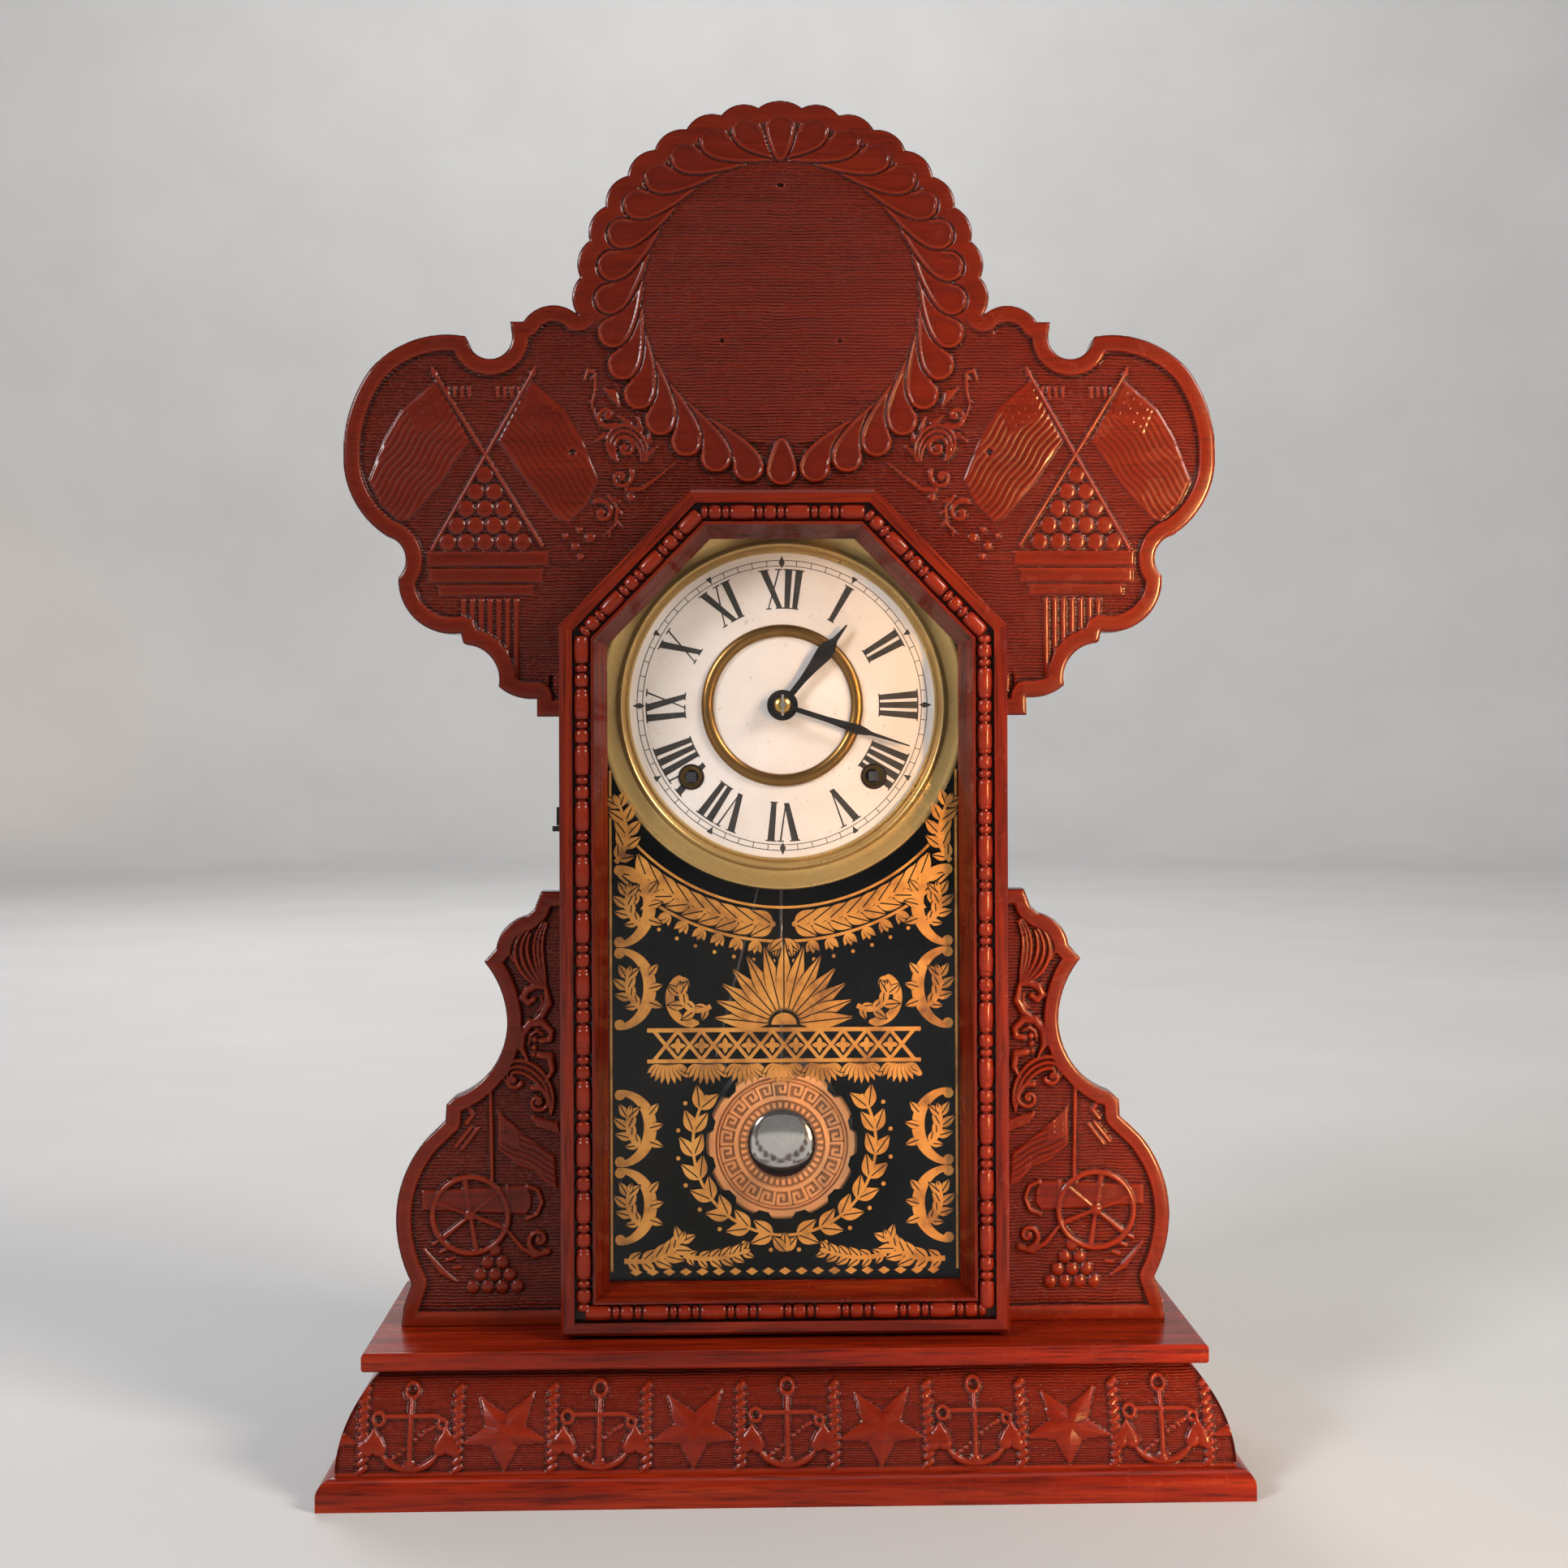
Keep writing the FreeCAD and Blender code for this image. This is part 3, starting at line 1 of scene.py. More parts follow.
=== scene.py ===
"""Looks of the gingerbread kitchen clock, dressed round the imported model.

The front faces -Y and +Z is up. Sizes below are millimetres and become metres when a mesh is made.
"""
import math
import bmesh
import bpy
import numpy as np
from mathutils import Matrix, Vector
from mathutils.geometry import delaunay_2d_cdt


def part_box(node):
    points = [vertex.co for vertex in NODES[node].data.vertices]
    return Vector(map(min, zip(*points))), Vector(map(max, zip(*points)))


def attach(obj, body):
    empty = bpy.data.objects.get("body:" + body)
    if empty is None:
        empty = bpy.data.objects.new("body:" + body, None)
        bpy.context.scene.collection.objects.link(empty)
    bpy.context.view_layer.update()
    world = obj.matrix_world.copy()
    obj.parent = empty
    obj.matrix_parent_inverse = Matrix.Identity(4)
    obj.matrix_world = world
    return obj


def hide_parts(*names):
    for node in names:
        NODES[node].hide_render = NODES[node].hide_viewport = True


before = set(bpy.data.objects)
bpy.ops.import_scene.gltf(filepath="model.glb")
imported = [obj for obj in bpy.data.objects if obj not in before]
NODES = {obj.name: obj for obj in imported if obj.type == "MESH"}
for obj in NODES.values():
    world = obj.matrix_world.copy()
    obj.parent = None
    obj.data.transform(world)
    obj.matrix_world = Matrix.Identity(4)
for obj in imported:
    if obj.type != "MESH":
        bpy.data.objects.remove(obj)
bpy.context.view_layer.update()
MM = 0.001
TAU = 2 * math.pi

# Heights and planes shared by several pieces.
DIAL_Z = 323.5
DIAL_FACE = -8.0
WINDING_X, WINDING_Z = 39.2, DIAL_Z - 30.6
GLASS_BACK = -19.5
CREST_FRONT, CREST_BACK = -11.5, -1.5
BOB_Z, BOB_FRONT, BOB_BACK = 126.5, 33.8, 38.2
DOOR_HALF, DOOR_FOOT, DOOR_TOP = 93.5, 61.0, 413.0
DOOR_FRONT = -34.5
CANT_RUN, CANT_DROP = 54.8, 56.5
CANT_LENGTH = math.hypot(CANT_RUN, CANT_DROP)
CANT_REACH = (DOOR_HALF * CANT_DROP + (DOOR_TOP - CANT_DROP) * CANT_RUN) / CANT_LENGTH
BEAD_LINE, BEAD_AXIS = 9.5, -31.6


# Finishes

def paint(red, green, blue):
    """Linear colour from the 0 to 255 values of a paint chart."""
    out = []
    for value in (red, green, blue):
        share = value / 255
        out.append(share / 12.92 if share <= 0.04045 else ((share + 0.055) / 1.055) ** 2.4)
    return (*out, 1.0)


class Finish:
    """A material being mixed: adds nodes, joins them and keeps the surface shader."""

    def __init__(self, name):
        self.material = bpy.data.materials.new(name)
        self.material.use_nodes = True
        self.tree = self.material.node_tree
        self.shader = self.tree.nodes["Principled BSDF"]

    def put(self, socket, value):
        if isinstance(value, bpy.types.NodeSocket):
            self.tree.links.new(value, socket)
        else:
            socket.default_value = value

    def node(self, kind, inputs=None, **settings):
        item = self.tree.nodes.new(kind)
        for key, value in settings.items():
            setattr(item, key, value)
        for key, value in (inputs or {}).items():
            self.put(item.inputs[key], value)
        return item

    def surface(self, **values):
        """Set the shader's inputs, with an underscore for each space, and hand over the material."""
        for key, value in values.items():
            self.put(self.shader.inputs[key.replace("_", " ")], value)
        return self.material

    def place(self, scale=(1, 1, 1), turn=(0, 0, 0), mirrored=False):
        """Object coordinates, stretched and turned; mirrored folds left onto right."""
        spot = self.node("ShaderNodeTexCoord").outputs["Object"]
        if mirrored:
            x, y, z = self.node("ShaderNodeSeparateXYZ", {"Vector": spot}).outputs
            folded = {"X": self.sum("ABSOLUTE", x), "Y": y, "Z": z}
            spot = self.node("ShaderNodeCombineXYZ", folded).outputs["Vector"]
        if any(turn):
            spot = self.node("ShaderNodeMapping", {"Vector": spot, "Rotation": turn}).outputs["Vector"]
        return self.node("ShaderNodeMapping", {"Vector": spot, "Scale": scale}).outputs["Vector"]

    def split(self):
        """The three Object coordinates, each on its own."""
        return self.node("ShaderNodeSeparateXYZ", {"Vector": self.place()}).outputs

    def cloud(self, where, scale, detail=3.0, rough=0.55, warp=0.0):
        return self.node("ShaderNodeTexNoise", {"Vector": where, "Scale": scale, "Detail": detail,
                                                "Roughness": rough, "Distortion": warp}).outputs["Fac"]

    def shade(self, fac, *stops):
        """Ramp of (spot, colour or grey level) stops."""
        item = self.node("ShaderNodeValToRGB", {"Fac": fac})
        row = item.color_ramp.elements
        while len(row) < len(stops):
            row.new(0.5)
        for element, (spot, colour) in zip(row, stops):
            element.position = spot
            element.color = colour if isinstance(colour, tuple) else (colour, colour, colour, 1.0)
        return item.outputs["Color"]

    def sum(self, kind, first, second=0.0, clamp=False):
        item = self.node("ShaderNodeMath", operation=kind, use_clamp=clamp)
        self.put(item.inputs[0], first)
        self.put(item.inputs[1], second)
        return item.outputs[0]

    def blend(self, fac, first, second):
        """Mix of two colours; 6, 7 and 2 are the Mix node's colour sockets."""
        item = self.node("ShaderNodeMix", data_type="RGBA")
        self.put(item.inputs[0], fac)
        self.put(item.inputs[6], first)
        self.put(item.inputs[7], second)
        return item.outputs[2]

    def carving(self, mark):
        return self.node("ShaderNodeAttribute", attribute_name=mark).outputs["Fac"]

    def dents(self, height, strength, depth, under=None):
        values = {"Height": height, "Strength": strength, "Distance": depth}
        if under is not None:
            values["Normal"] = under
        return self.node("ShaderNodeBump", values).outputs["Normal"]


GRAIN = {"X": (9, 170, 170), "Y": (170, 9, 170), "Z": (170, 170, 9)}
PORE_FINENESS = 4.2
STAINS = ((58, 12, 4), (94, 22, 6), (128, 42, 12), (72, 16, 5))


def lacquered_wood(name, along, turn=(0, 0, 0), mirrored=False, carved=False, tone=1.0, comb=(1.0, 1.4),
                   seam=None):
    """Red-stained mahogany under old varnish.

    carved adds painted shade in the hollows, lighter raised tops (wear and a painted highlight) and a combed
    ground with painted shade and highlight on its rows; comb is how deep and how far apart the comb's rows
    are;
    seam is (across, up, reach) of the line where the bead strip lies, with painted shade in the channel
    beside it.
    """
    f = Finish(name)
    stretch = GRAIN[along]
    figure = f.cloud(f.place(stretch, turn, mirrored), 1.0, 5.0, 0.62, 0.4)
    pores = f.cloud(f.place(tuple(PORE_FINENESS * s for s in stretch), turn, mirrored), 1.0, 2.0, 0.6)
    clouds = f.cloud(f.place(), 9.0, 4.0, 0.55)
    deep, mid, warm, dusk = [paint(r * tone, g * tone, b * tone) for r, g, b in STAINS]
    stain = f.shade(figure, (0.26, deep), (0.52, mid), (0.82, warm))
    if carved:
        stain = f.blend(0.6, stain, mid)
    stain = f.blend(f.shade(clouds, (0.35, 0.0), (0.75, 0.5)), stain, dusk)
    streaks = ((0.30, 0.42), (0.44, 0.0)) if carved else ((0.30, 0.66), (0.50, 0.0))
    stain = f.blend(f.shade(pores, *streaks), stain, paint(34, 8, 5))
    gloss = f.shade(f.cloud(f.place(), 55.0, 4.0, 0.6), (0.3, 0.16), (0.75, 0.34))
    relief = f.dents(pores, 0.18, 0.0004)
    if carved:
        stain, relief = carved_painted_light(f, stain, relief, comb)
    if seam:
        # painted shade, near-black, in the channel beside the bead strip
        stain = f.blend(channel_shade(f, *seam), stain, paint(20, 5, 4))
    return f.surface(Base_Color=stain, Roughness=gloss, Normal=relief, Coat_Weight=0.17, Coat_Roughness=0.05,
                     Specular_IOR_Level=0.16)


def carved_painted_light(f, stain, relief, comb):
    """Painted shade in the hollows, lighter raised tops (wear and a painted highlight), and comb marks with
    painted shade and highlight, from the marks that the carving left.
    """
    depth, pitch = comb
    # painted shade: near-black mixed in by how hollow each spot is
    stain = f.blend(f.carving("hollow"), stain, paint(21, 5, 4))
    # lighter raised tops: part wear, part painted highlight
    stain = f.blend(f.sum("MULTIPLY", f.carving("wear_and_highlight"), 0.45, True), stain, paint(146, 52, 24))
    combed = f.sum("MULTIPLY", f.sum("MULTIPLY", comb_marks(f, pitch), f.carving("ground")), depth)
    # painted shade in the comb's troughs and a painted highlight on its tops, on top of the bump
    sunk = f.sum("MULTIPLY", f.sum("SUBTRACT", 0.0, combed), 0.55, True)
    stain = f.blend(sunk, stain, paint(26, 6, 4))
    stain = f.blend(f.sum("MULTIPLY", combed, 0.3, True), stain, paint(150, 50, 20))
    return stain, f.dents(combed, 0.75, 0.0006, relief)


def comb_marks(f, pitch):
    """Rows of short level dashes that the press leaves on the ground."""
    wobble = f.sum("MULTIPLY", f.cloud(f.place((60, 60, 60)), 1.0, 2.0), 8.0)
    rows = f.sum("ADD", f.sum("MULTIPLY", f.split()["Z"], TAU / (pitch * MM)), wobble)
    dashes = f.shade(f.cloud(f.place((520, 520, 760)), 1.0, 2.0), (0.38, 0.1), (0.56, 1.0))
    return f.sum("MULTIPLY", f.sum("SINE", rows), dashes)


def channel_shade(f, across, up, reach):
    """Painted shade beside the bead strip: near its line and below the door's front."""
    channel_half, skin = 4.1, 0.25
    x, y, z = f.split()
    line = f.sum("ADD", f.sum("MULTIPLY", f.sum("ABSOLUTE", x), across), f.sum("MULTIPLY", z, up))
    gap = f.sum("ABSOLUTE", f.sum("SUBTRACT", line, reach * MM))
    near = f.sum("LESS_THAN", gap, channel_half * MM)
    sunk = f.sum("GREATER_THAN", y, (DOOR_FRONT + skin) * MM)
    return f.sum("MULTIPLY", f.sum("MULTIPLY", near, sunk), 0.85)


def bare_wood(name, along, shade_below=None):
    """Unvarnished faces: dull brown with dust in the grain; the last argument is the Y below which the faces
    inside the case get a near-black blue painted shade.
    """
    f = Finish(name)
    figure = f.cloud(f.place(GRAIN[along]), 1.0, 5.0, 0.6, 0.3)
    stain = f.shade(figure, (0.3, paint(46, 27, 17)), (0.55, paint(84, 54, 34)), (0.8, paint(112, 78, 52)))
    grime = f.cloud(f.place(), 16.0, 4.0, 0.6)
    stain = f.blend(f.shade(grime, (0.4, 0.0), (0.8, 0.6)), stain, paint(34, 22, 16))
    if shade_below is not None:
        # painted shade: near-black blue on the back board's faces inside the case
        inner_shade = f.shade(grime, (0.3, paint(6, 8, 14)), (0.75, paint(12, 17, 29)))
        stain = f.blend(f.sum("LESS_THAN", f.split()["Y"], shade_below * MM), stain, inner_shade)
    return f.surface(Base_Color=stain, Roughness=0.86, Normal=f.dents(figure, 0.2, 0.0004),
                     Specular_IOR_Level=0.2)


def metal(name, bright, dull, rough, brushed=(1, 1, 1), stain=0.5, size=40.0, stamped=False, bare=1.0):
    """Aged metal: bright colour with duller patches and fine brush marks.

    rough is how dull the clean and the stained parts shine; stain and size say how strong and how fine the
    patches are; stamped darkens the hollows; bare is how much of it is clean metal and not old lacquer.
    """
    f = Finish(name)
    patches = f.cloud(f.place(), size, 4.0, 0.6, 0.5)
    marks = f.cloud(f.place(tuple(900 * b for b in brushed)), 1.0, 2.0)
    colour = f.blend(f.shade(patches, (0.35, 0.0), (0.75, stain)), bright, dull)
    colour = f.blend(f.shade(marks, (0.3, 0.18), (0.6, 0.0)), colour, dull)
    if stamped:
        colour = f.blend(f.sum("MULTIPLY", f.carving("hollow"), 0.7, True), colour, paint(110, 62, 34))
    gloss = f.shade(patches, (0.3, rough[0]), (0.8, rough[1]))
    return f.surface(Base_Color=colour, Metallic=bare, Roughness=gloss, Normal=f.dents(marks, 0.08, 0.0002))


def japanned_iron(name):
    """Black varnished iron with worn, slightly shiny patches."""
    f = Finish(name)
    wear = f.cloud(f.place(), 160.0, 4.0, 0.65)
    colour = f.shade(wear, (0.35, paint(12, 11, 12)), (0.7, paint(34, 31, 31)))
    return f.surface(Base_Color=colour, Roughness=f.shade(wear, (0.3, 0.28), (0.7, 0.5)), Metallic=0.35,
                     Normal=f.dents(wear, 0.12, 0.0003))


def enamelled_dial(name):
    """Off-white painted zinc with faint age clouds and a few brown specks."""
    f = Finish(name)
    age = f.cloud(f.place(), 26.0, 5.0, 0.6)
    specks = f.cloud(f.place(), 420.0, 2.0, 0.6)
    whites = (0.3, paint(204, 196, 188)), (0.6, paint(216, 209, 204)), (0.85, paint(223, 218, 215))
    colour = f.blend(f.shade(specks, (0.24, 0.5), (0.32, 0.0)), f.shade(age, *whites), paint(150, 132, 104))
    return f.surface(Base_Color=colour, Roughness=0.42, Normal=f.dents(age, 0.05, 0.0005), Coat_Weight=0.15)


def printed_ink(name):
    f = Finish(name)
    fade = f.cloud(f.place(), 300.0, 3.0, 0.6)
    colour = f.shade(fade, (0.3, paint(20, 18, 17)), (0.8, paint(52, 47, 43)))
    return f.surface(Base_Color=colour, Roughness=0.6)


def gilt_print(name):
    """Gold bronze powder printed on the glass, thin in places."""
    f = Finish(name)
    thin = f.cloud(f.place(), 90.0, 5.0, 0.65)
    colour = f.shade(thin, (0.3, paint(122, 74, 26)), (0.5, paint(188, 126, 48)), (0.8, paint(214, 156, 74)))
    return f.surface(Base_Color=colour, Metallic=0.25, Roughness=0.42, Normal=f.dents(thin, 0.15, 0.0002))


def old_glass(name):
    """Clear window glass: nearly all seen through, a faint mirror, slow waves and a breath of dust."""
    f = Finish(name)
    waves = f.cloud(f.place((14, 14, 6)), 1.0, 2.0)
    dust = f.cloud(f.place(), 35.0, 5.0, 0.65)
    return f.surface(Base_Color=paint(240, 246, 244), Metallic=1.0, Alpha=0.012,
                     Roughness=f.shade(dust, (0.45, 0.0), (0.9, 0.06)), Normal=f.dents(waves, 0.05, 0.004))


def studio_floor(name):
    f = Finish(name)
    tone = f.shade(f.cloud(f.place(), 3.0, 3.0), (0.3, paint(188, 188, 188)), (0.8, paint(196, 196, 196)))
    return f.surface(Base_Color=tone, Roughness=0.75)


DOOR_TONE = 1.1
# how far in from the back board's rear face the painted shade inside the case stops
BARE_SKIN = 0.4
CANT_TURN = (0, -math.atan2(CANT_DROP, CANT_RUN), 0)
CANT_SEAM = (CANT_DROP / CANT_LENGTH, CANT_RUN / CANT_LENGTH, CANT_REACH - BEAD_LINE)
STILE_WOOD = lacquered_wood("stile_wood", "Z", tone=DOOR_TONE, seam=(1, 0, DOOR_HALF - BEAD_LINE))
TOP_RAIL_WOOD = lacquered_wood("top_rail_wood", "X", tone=DOOR_TONE, seam=(0, 1, DOOR_TOP - BEAD_LINE))
LOW_RAIL_WOOD = lacquered_wood("low_rail_wood", "X", tone=DOOR_TONE, seam=(0, 1, DOOR_FOOT + BEAD_LINE))
CANT_WOOD = lacquered_wood("cant_wood", "X", CANT_TURN, True, tone=DOOR_TONE, seam=CANT_SEAM)
PLINTH_WOOD = lacquered_wood("plinth_wood", "X", tone=1.36)
RETURN_WOOD = lacquered_wood("return_wood", "Y", tone=1.3)
CARVED_WOOD = lacquered_wood("carved_wood", "X", carved=True)
BASE_WOOD = lacquered_wood("base_wood", "X", carved=True, tone=1.25, comb=(0.5, 1.0))
BEAD_WOOD = lacquered_wood("bead_wood", "X", carved=True, tone=1.25)
BACK_WOOD = bare_wood("back_wood", "Z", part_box("back_board")[1][1] / MM - BARE_SKIN)
BLOCK_WOOD = bare_wood("block_wood", "X")
BEZEL_BRASS = metal("bezel_brass", paint(206, 172, 108), paint(150, 114, 62), (0.24, 0.42), stain=0.6,
                    size=26.0, bare=0.72)
BRONZE = metal("ring_bronze", paint(150, 112, 62), paint(90, 62, 34), (0.26, 0.42), stain=0.6)
EYELET_BRONZE = metal("eyelet_bronze", paint(70, 50, 40), paint(34, 26, 23), (0.3, 0.5))
CLOCK_BRASS = metal("clock_brass", paint(204, 164, 88), paint(140, 104, 50), (0.25, 0.45), (1, 0.15, 0.15))
STAMPED_BRASS = metal("stamped_brass", paint(255, 196, 140), paint(232, 160, 106), (0.3, 0.5), size=60.0,
                      stamped=True, bare=0.3)
ARBOR_STEEL = metal("arbor_steel", paint(176, 176, 178), paint(104, 100, 96), (0.25, 0.5), (0.2, 1, 1),
                    size=120.0)
SPRING_STEEL = metal("spring_steel", paint(96, 98, 108), paint(52, 48, 50), (0.25, 0.5))
POLISHED_NICKEL = metal("polished_nickel", paint(214, 212, 208), paint(160, 152, 142), (0.05, 0.16),
                        stain=0.35, size=30.0)
BLACK_IRON = japanned_iron("black_iron")
HAND_BLACK = japanned_iron("hand_black")
DIAL_WHITE = enamelled_dial("dial_white")
DIAL_INK = printed_ink("dial_ink")
GILT = gilt_print("gilt_print")
GLASS = old_glass("door_glass")
FLOOR_PALE = studio_floor("floor_pale")


# Workshop helpers

def place_mesh(name, points, faces, smooth=True):
    """Mesh object from millimetre points and face index lists."""
    mesh = bpy.data.meshes.new(name)
    mesh.from_pydata((np.asarray(points, float) * MM).tolist(), [], [list(map(int, f)) for f in faces])
    mesh.polygons.foreach_set("use_smooth", [smooth] * len(mesh.polygons))
    mesh.update()
    obj = bpy.data.objects.new(name, mesh)
    bpy.context.scene.collection.objects.link(obj)
    return obj


def set_marks(mesh, marks):
    """Store the carving's marks, one value for each point, for the finish to read."""
    for mark, values in marks.items():
        mesh.attributes.new(mark, "FLOAT", "POINT").data.foreach_set("value", values)


def fit(obj, body, finish, slot, *nodes):
    """Give the piece its finish, let it ride on a body and stand for CAD nodes."""
    obj.data.materials.clear()
    obj.data.materials.append(finish)
    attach(obj, body)
    if nodes:
        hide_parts(*nodes)


def face_outwards(obj, crease=None):
    shell = bmesh.new()
    shell.from_mesh(obj.data)
    bmesh.ops.remove_doubles(shell, verts=shell.verts, dist=1e-7)
    bmesh.ops.recalc_face_normals(shell, faces=shell.faces)
    shell.to_mesh(obj.data)
    shell.free()
    if crease is not None:
        obj.data.set_sharp_from_angle(angle=math.radians(crease))
    return obj


def turned(name, profile, x, z, steps=160, crease=35):
    """Closed ring or disc turned about a Y axis: profile is (radius, y) points, radius 0 ends on the axis."""
    on_axis = 1e-6
    points, faces, rows = [], [], []
    for radius, y in profile:
        if radius < on_axis:
            rows.append([len(points)] * steps)
            points.append((x, y, z))
            continue
        rows.append(list(range(len(points), len(points) + steps)))
        points += [(px, y, pz) for px, pz in circle(x, z, radius, steps)]
    is_ring = profile[0][0] > on_axis or profile[-1][0] > on_axis
    pairs = list(zip(rows, rows[1:])) + ([(rows[-1], rows[0])] if is_ring else [])
    for low, high in pairs:
        for k in range(steps):
            n = (k + 1) % steps
            corner = [low[k], low[n], high[n], high[k]]
            face = [c for i, c in enumerate(corner) if c not in corner[:i]]
            if len(face) > 2:
                faces.append(face)
    return face_outwards(place_mesh(name, points, faces), crease)


def circle(x, z, radius, count, closed=False):
    """Points of a circle from its right side round by the top; closed repeats the first at the end."""
    angles = [TAU * k / count for k in range(count + closed)]
    return [(x + radius * math.cos(a), z + radius * math.sin(a)) for a in angles]


def volute(x, z, outer, inner, start, turns):
    """Points of a spiral that winds in from outer to inner radius."""
    count = 44
    row = []
    for k in range(count + 1):
        t = k / count
        radius = outer * (inner / outer) ** t
        a = math.radians(start) + TAU * turns * t
        row.append((x + radius * math.cos(a), z + radius * math.sin(a)))
    return row


def bend(*spots, count=24):
    """Smooth row of points through control spots (a Bezier of any degree)."""
    row = []
    for k in range(count + 1):
        t = k / count
        level = list(spots)
        while len(level) > 1:
            level = [((1 - t) * ax + t * bx, (1 - t) * az + t * bz)
                     for (ax, az), (bx, bz) in zip(level, level[1:])]
        row.append(level[0])
    return row


def to_line(x, z, start, end):
    """Distance from points to one straight piece, and how far along it the nearest spot is, 0 to 1."""
    (ax, az), (bx, bz) = start, end
    dx, dz = bx - ax, bz - az
    t = np.clip(((x - ax) * dx + (z - az) * dz) / max(dx * dx + dz * dz, 1e-12), 0, 1)
    return np.hypot(x - ax - t * dx, z - az - t * dz), t


def inside_ring(ring, spots):
    """Indices of the spots that lie inside a closed ring of points."""
    corners = np.array(ring)
    in_box = (spots >= corners.min(axis=0)) & (spots <= corners.max(axis=0))
    near = np.flatnonzero(in_box.all(axis=1))
    x, z = spots[near].T
    odd = np.zeros(len(near), dtype=bool)
    for (ax, az), (bx, bz) in zip(corners, np.roll(corners, -1, axis=0)):
        if az != bz:
            odd ^= ((az > z) != (bz > z)) & (x < ax + (bx - ax) * (z - az) / (bz - az))
    return near[odd]


def soften(field, passes):
    """Repeated small box blur of a grid."""
    for _ in range(passes):
        wide = np.pad(field, 1, mode="edge")
        sides = wide[:-2, 1:-1] + wide[2:, 1:-1] + wide[1:-1, :-2] + wide[1:-1, 2:]
        field = (sides + wide[1:-1, 1:-1]) / 5
    return field


def smooth_step(low, high, value):
    t = np.clip((value - low) / (high - low), 0, 1)
    return t * t * (3 - 2 * t)


# Carving: heights in millimetres over the recessed ground, worked out on a cloud of points.

class Carving:
    """Carved heights at points (x, z); every cut keeps the higher of what is there and what is new."""

    def __init__(self, x, z):
        self.x, self.z = x, z
        self.spots = np.column_stack([x, z])
        self.h = np.zeros_like(x)
        self.plain = np.ones_like(x)

    def near(self, points, reach):
        px, pz = [p[0] for p in points], [p[1] for p in points]
        return np.flatnonzero((self.x > min(px) - reach) & (self.x < max(px) + reach)
                              & (self.z > min(pz) - reach) & (self.z < max(pz) + reach))

    def offset(self, points, widths, here):
        """Distance to a chain of points as a share of its half-width there."""
        x, z = self.x[here], self.z[here]
        share = np.full(len(here), 9.0)
        for start, end, wa, wb in zip(points, points[1:], widths, widths[1:]):
            gap, t = to_line(x, z, start, end)
            share = np.minimum(share, gap / (wa + (wb - wa) * t))
        return share

    def skin(self, points, widths, here):
        """Distance in millimetres to the outline of a chain of points, negative inside."""
        x, z = self.x[here], self.z[here]
        near = np.full(len(here), 99.0)
        for start, end, wa, wb in zip(points, points[1:], widths, widths[1:]):
            gap, t = to_line(x, z, start, end)
            near = np.minimum(near, gap - wa - (wb - wa) * t)
        return near

    def raise_to(self, here, level):
        kept = level > self.h[here]
        spots = here[kept]
        self.h[spots] = level[kept]
        self.plain[spots] = 0.0

    def cord(self, points, width, height, power=2.0):
        """Rounded strip along points; width is a half-width or one for each point."""
        widths = list(width) if isinstance(width, (list, tuple)) else [width] * len(points)
        here = self.near(points, max(widths))
        share = self.offset(points, widths, here)
        inside = share < 1
        self.raise_to(here[inside], height * (1 - share[inside] ** power) ** 0.6)

    def ball(self, x, z, radius, height, flat=2.0):
        here = self.near([(x, z)], radius)
        share = np.hypot(self.x[here] - x, self.z[here] - z) / radius
        inside = share < 1
        self.raise_to(here[inside], height * np.sqrt(1 - share[inside] ** flat))

    def pit(self, x, z, radius, depth):
        here = self.near([(x, z)], radius)
        share = np.hypot(self.x[here] - x, self.z[here] - z) / radius
        self.h[here] -= depth * np.clip(1 - share ** 2, 0, 1)

    def groove(self, points, width, depth):
        here = self.near(points, width)
        share = self.offset(points, [width] * len(points), here)
        self.h[here] -= depth * np.clip(1 - share ** 2, 0, 1)

    def patch(self, outline, height, bevel=1.0, ripple=None):
        """Flat raised field with a bevelled edge; ripple is (direction, pitch, depth, bend)."""
        here = inside_ring(outline, self.spots)
        edge = self.offset(outline + outline[:1], [1.0] * (len(outline) + 1), here)
        rise = np.clip(edge / bevel, 0, 1)
        level = height * rise
        if ripple:
            (dx, dz), pitch, depth, bent = ripple
            x, z = self.x[here], self.z[here]
            along, across = x * dz - z * dx, x * dx + z * dz
            level += depth * np.sin(TAU * (across + bent * np.sin(along / 3.2)) / pitch) * rise
        self.raise_to(here, level)

    def facet_star(self, x, z, tips, notches, peak, tip_height, notch_height):
        """Star of flat facets: ridges run from the middle to the tips, valleys to the notches."""
        for k, tip in enumerate(tips):
            for notch in (notches[k - 1], notches[k]):
                here = self.near([(x, z), (x + tip[0], z + tip[1]), (x + notch[0], z + notch[1])], 0.1)
                area = tip[0] * notch[1] - notch[0] * tip[1]
                px, pz = self.x[here] - x, self.z[here] - z
                u = (px * notch[1] - pz * notch[0]) / area
                v = (pz * tip[0] - px * tip[1]) / area
                inside = (u >= 0) & (v >= 0) & (u + v <= 1)
                level = peak * (1 - u - v) + tip_height * u + notch_height * v
                self.raise_to(here[inside], level[inside])


def carve_volute(c, x, z, outer, start, turns, height, width):
    inner = 0.9
    row = volute(x, z, outer, inner, start, turns)
    c.cord(row, [width * (1 - 0.55 * k / (len(row) - 1)) for k in range(len(row))], height)
    c.ball(x, z, 1.5, height)


